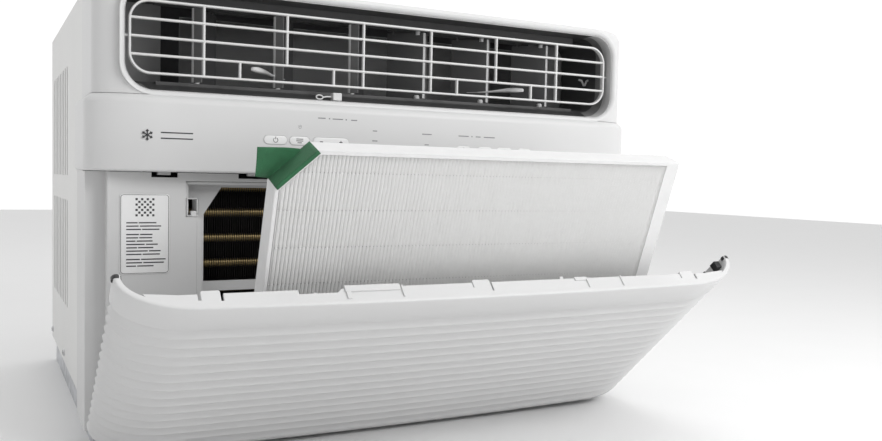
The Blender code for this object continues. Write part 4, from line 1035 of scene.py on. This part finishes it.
def pull_ribbon():
    """Sewn ribbon: a band over the cut corner's wall, and a tail that stands out from its back edge."""
    x0, top = FILTER_X[0], FILTER_Z[1]
    near, far = FILTER_Y - FILTER_DEEP / 2, FILTER_Y + FILTER_DEEP / 2
    foot, head = Vector((x0, 0, top - FILTER_CHAMFER)), Vector((x0 + FILTER_CHAMFER, 0, top))
    out = Vector((-1, 0, 1)).normalized()
    wrap = [(-1.9, near - 0.3), (-0.5, near - 0.35), (0.32, near + 0.1), (0.36, near + 3), (0.34, near + 8),
            (0.34, far - 5), (0.36, far - 1.2), (0.3, far + 0.2), (-0.6, far + 0.3), (-2.0, far + 0.3)]

    def band(t, s):
        edge = foot.lerp(head, 0.005 + 0.99 * s)
        reach = follow([(*stop, 0) for stop in wrap], t)
        return edge + out * reach.x + Vector((0, reach.y, 0))

    low = [(-141.6, far - 4.6, -24.2), (-143.3, far - 2.8, -24.0), (-144.9, far - 1.0, -23.7),
           (-147.0, far - 1.4, -23.2), (-150.0, far - 3.4, -22.3), (-153.0, far - 4.8, -21.5)]
    high = [(-122.9, far - 4.6, -4.9), (-124.4, far - 2.8, -4.6), (-126.6, far - 1.0, -4.3),
            (-134.0, far - 0.7, -4.1), (-144.0, far - 2.6, -3.6), (-153.8, far - 4.8, -2.9)]

    def tail(t, s):
        point = follow(low, t).lerp(follow(high, t), s)
        point.y += -0.9 * math.sin(math.pi * s) * t + 0.35 * math.sin(7 * t + 3 * s) * t
        point.z += top
        return point

    made = cloth("pull_ribbon", 30, 14, tail, RIBBON, (3.1, 1.9))
    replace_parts(made, "filter_pull_tab")
    made = cloth("pull_band", 40, 14, band, RIBBON, (2.3, 3.4))

    for column, t in enumerate((0.86, 0.97)):
        stitches = Shape()
        for k in range(9):
            s0, s1 = 0.08 + 0.1 * k, 0.13 + 0.1 * k
            a, b = tail(t, s0), tail(t, s1)
            lift = Vector((0, -0.32, 0))
            stitches.pipe([a + lift * 0.4, a.lerp(b, 0.25) + lift, a.lerp(b, 0.75) + lift, b + lift * 0.4],
                          0.14, 6)
        stitches.moved(filter_place()).piece(f"ribbon_stitches_{column + 1}", THREAD, "filter")


bezel()
duct_liner()
fascia()
buttons()
printing()
grille()
vanes()
outlet_sensor()
intake_details()
sticker()
coil()
panel()
rear_fins()
screws()
filter_pack()
pull_ribbon()


# ---------------------------------------------------------------- carried-over nodes

CARRIED = {
    SHELL: ("latch_catch_left", "latch_catch_middle", "latch_catch_right", "carriage_rail_left",
            "carriage_rail_right", "filter_carriage"),
    INTAKE: ("intake_frame", "hinge_bracket_left", "hinge_bracket_right", "control_box"),
    RECESS: ("filter_recess",),
    DUCT: ("vane_rail_lower", "vane_rail_upper", "vane_link_left", "vane_link_right", "blower_wheel",
           "condenser_fan"),
    RUBBER: ("drain_plug", "cord_gland", "compressor_mount"),
    COPPER: ("accumulator", "discharge_pipe"),
    ZINC: ("base_pan", "bulkhead", "motor_bracket", "fan_shroud"),
    PAINT: ("cabinet", "rear_guard"),
    BLACK: ("fan_motor", "compressor"),
    FOAM: ("scroll_housing",),
    BOARD: ("control_board",),
    STEEL: ("fan_shaft",),
    FINS: ("condenser_coil",),
}
SOFT_EDGE = {"intake_frame": 0.7, "filter_recess": 0.5, "cabinet": 0.4, "base_pan": 0.5,
             "filter_carriage": 0.5,
             "latch_catch_left": 0.4, "latch_catch_middle": 0.4, "latch_catch_right": 0.4, "rear_guard": 0.3,
             "control_box": 0.5, "compressor": 0.6}
for look, names in CARRIED.items():
    for name in names:
        node = NODES[name]
        node.data.materials.clear()
        node.data.materials.append(look)
        if name in SOFT_EDGE:
            round_edges(node, SOFT_EDGE[name])


# ---------------------------------------------------------------- stage

def area_light(name, where, size, power, aim=(0.0, -0.2, 0.17)):
    light = bpy.data.lights.new(name, "AREA")
    light.shape = "RECTANGLE"
    light.size, light.size_y = size
    light.energy = power
    made = bpy.data.objects.new(name, light)
    made.location = where
    made.rotation_euler = (Vector(aim) - Vector(where)).to_track_quat("-Z", "Y").to_euler()
    bpy.context.scene.collection.objects.link(made)


def stage():
    mesh = bpy.data.meshes.new("studio_floor")
    mesh.from_pydata([(-4, -4, 0), (4, -4, 0), (4, 4, 0), (-4, 4, 0)], [], [(0, 1, 2, 3)])
    mesh.materials.append(surface("pale_floor", (0.86, 0.86, 0.86), 0.7, grain=300, mottle=0.005))
    floor = bpy.data.objects.new("studio_floor", mesh)
    bpy.context.scene.collection.objects.link(floor)
    world = bpy.data.worlds.new("studio")
    world.use_nodes = True
    tree = world.node_tree
    place = tree.nodes.new("ShaderNodeTexCoord")
    split = tree.nodes.new("ShaderNodeSeparateXYZ")
    tree.links.new(place.outputs["Generated"], split.inputs["Vector"])
    glow = tree.nodes.new("ShaderNodeMapRange")
    glow.inputs["From Min"].default_value = -0.3
    glow.inputs["From Max"].default_value = 0.5
    glow.inputs["To Min"].default_value = WORLD_FRONT
    glow.inputs["To Max"].default_value = WORLD_REAR
    tree.links.new(split.outputs["Y"], glow.inputs["Value"])
    tree.links.new(glow.outputs["Result"], tree.nodes["Background"].inputs["Strength"])
    tree.nodes["Background"].inputs["Color"].default_value = (1, 1, 1, 1)
    bpy.context.scene.world = world
    area_light("key", (0.5, -1.1, 0.8), (0.5, 0.5), 7.4)
    area_light("low", (0.7, -1.4, 0.14), (1.0, 0.2), 1.3, aim=(0.0, -0.2, 0.1))
    area_light("top", (0.3, -0.1, 1.9), (1.6, 1.2), 5.5)


WORLD_FRONT, WORLD_REAR = 0.56, 1.04


def camera():
    data = bpy.data.cameras.new("camera")
    data.lens = 35.92
    data.sensor_width = 36.0
    data.clip_start = 0.01
    made = bpy.data.objects.new("camera", data)
    yaw, pitch, roll = (math.radians(a) for a in (27.770, -2.798, 1.213))
    ahead = Vector((math.sin(yaw), math.cos(yaw), 0))
    across = Vector((math.cos(yaw), -math.sin(yaw), 0))
    up = Vector((0, 0, 1))
    look = ahead * math.cos(pitch) + up * math.sin(pitch)
    rise = up * math.cos(pitch) - ahead * math.sin(pitch)
    right = across * math.cos(roll) + rise * math.sin(roll)
    top = rise * math.cos(roll) - across * math.sin(roll)
    turn = Matrix((right, top, -look)).transposed()
    made.matrix_world = Matrix.Translation((-0.2996, -0.8268, 0.2030)) @ turn.to_4x4()
    bpy.context.scene.collection.objects.link(made)
    bpy.context.scene.camera = made


stage()
camera()
bpy.context.scene.view_settings.view_transform = "Standard"
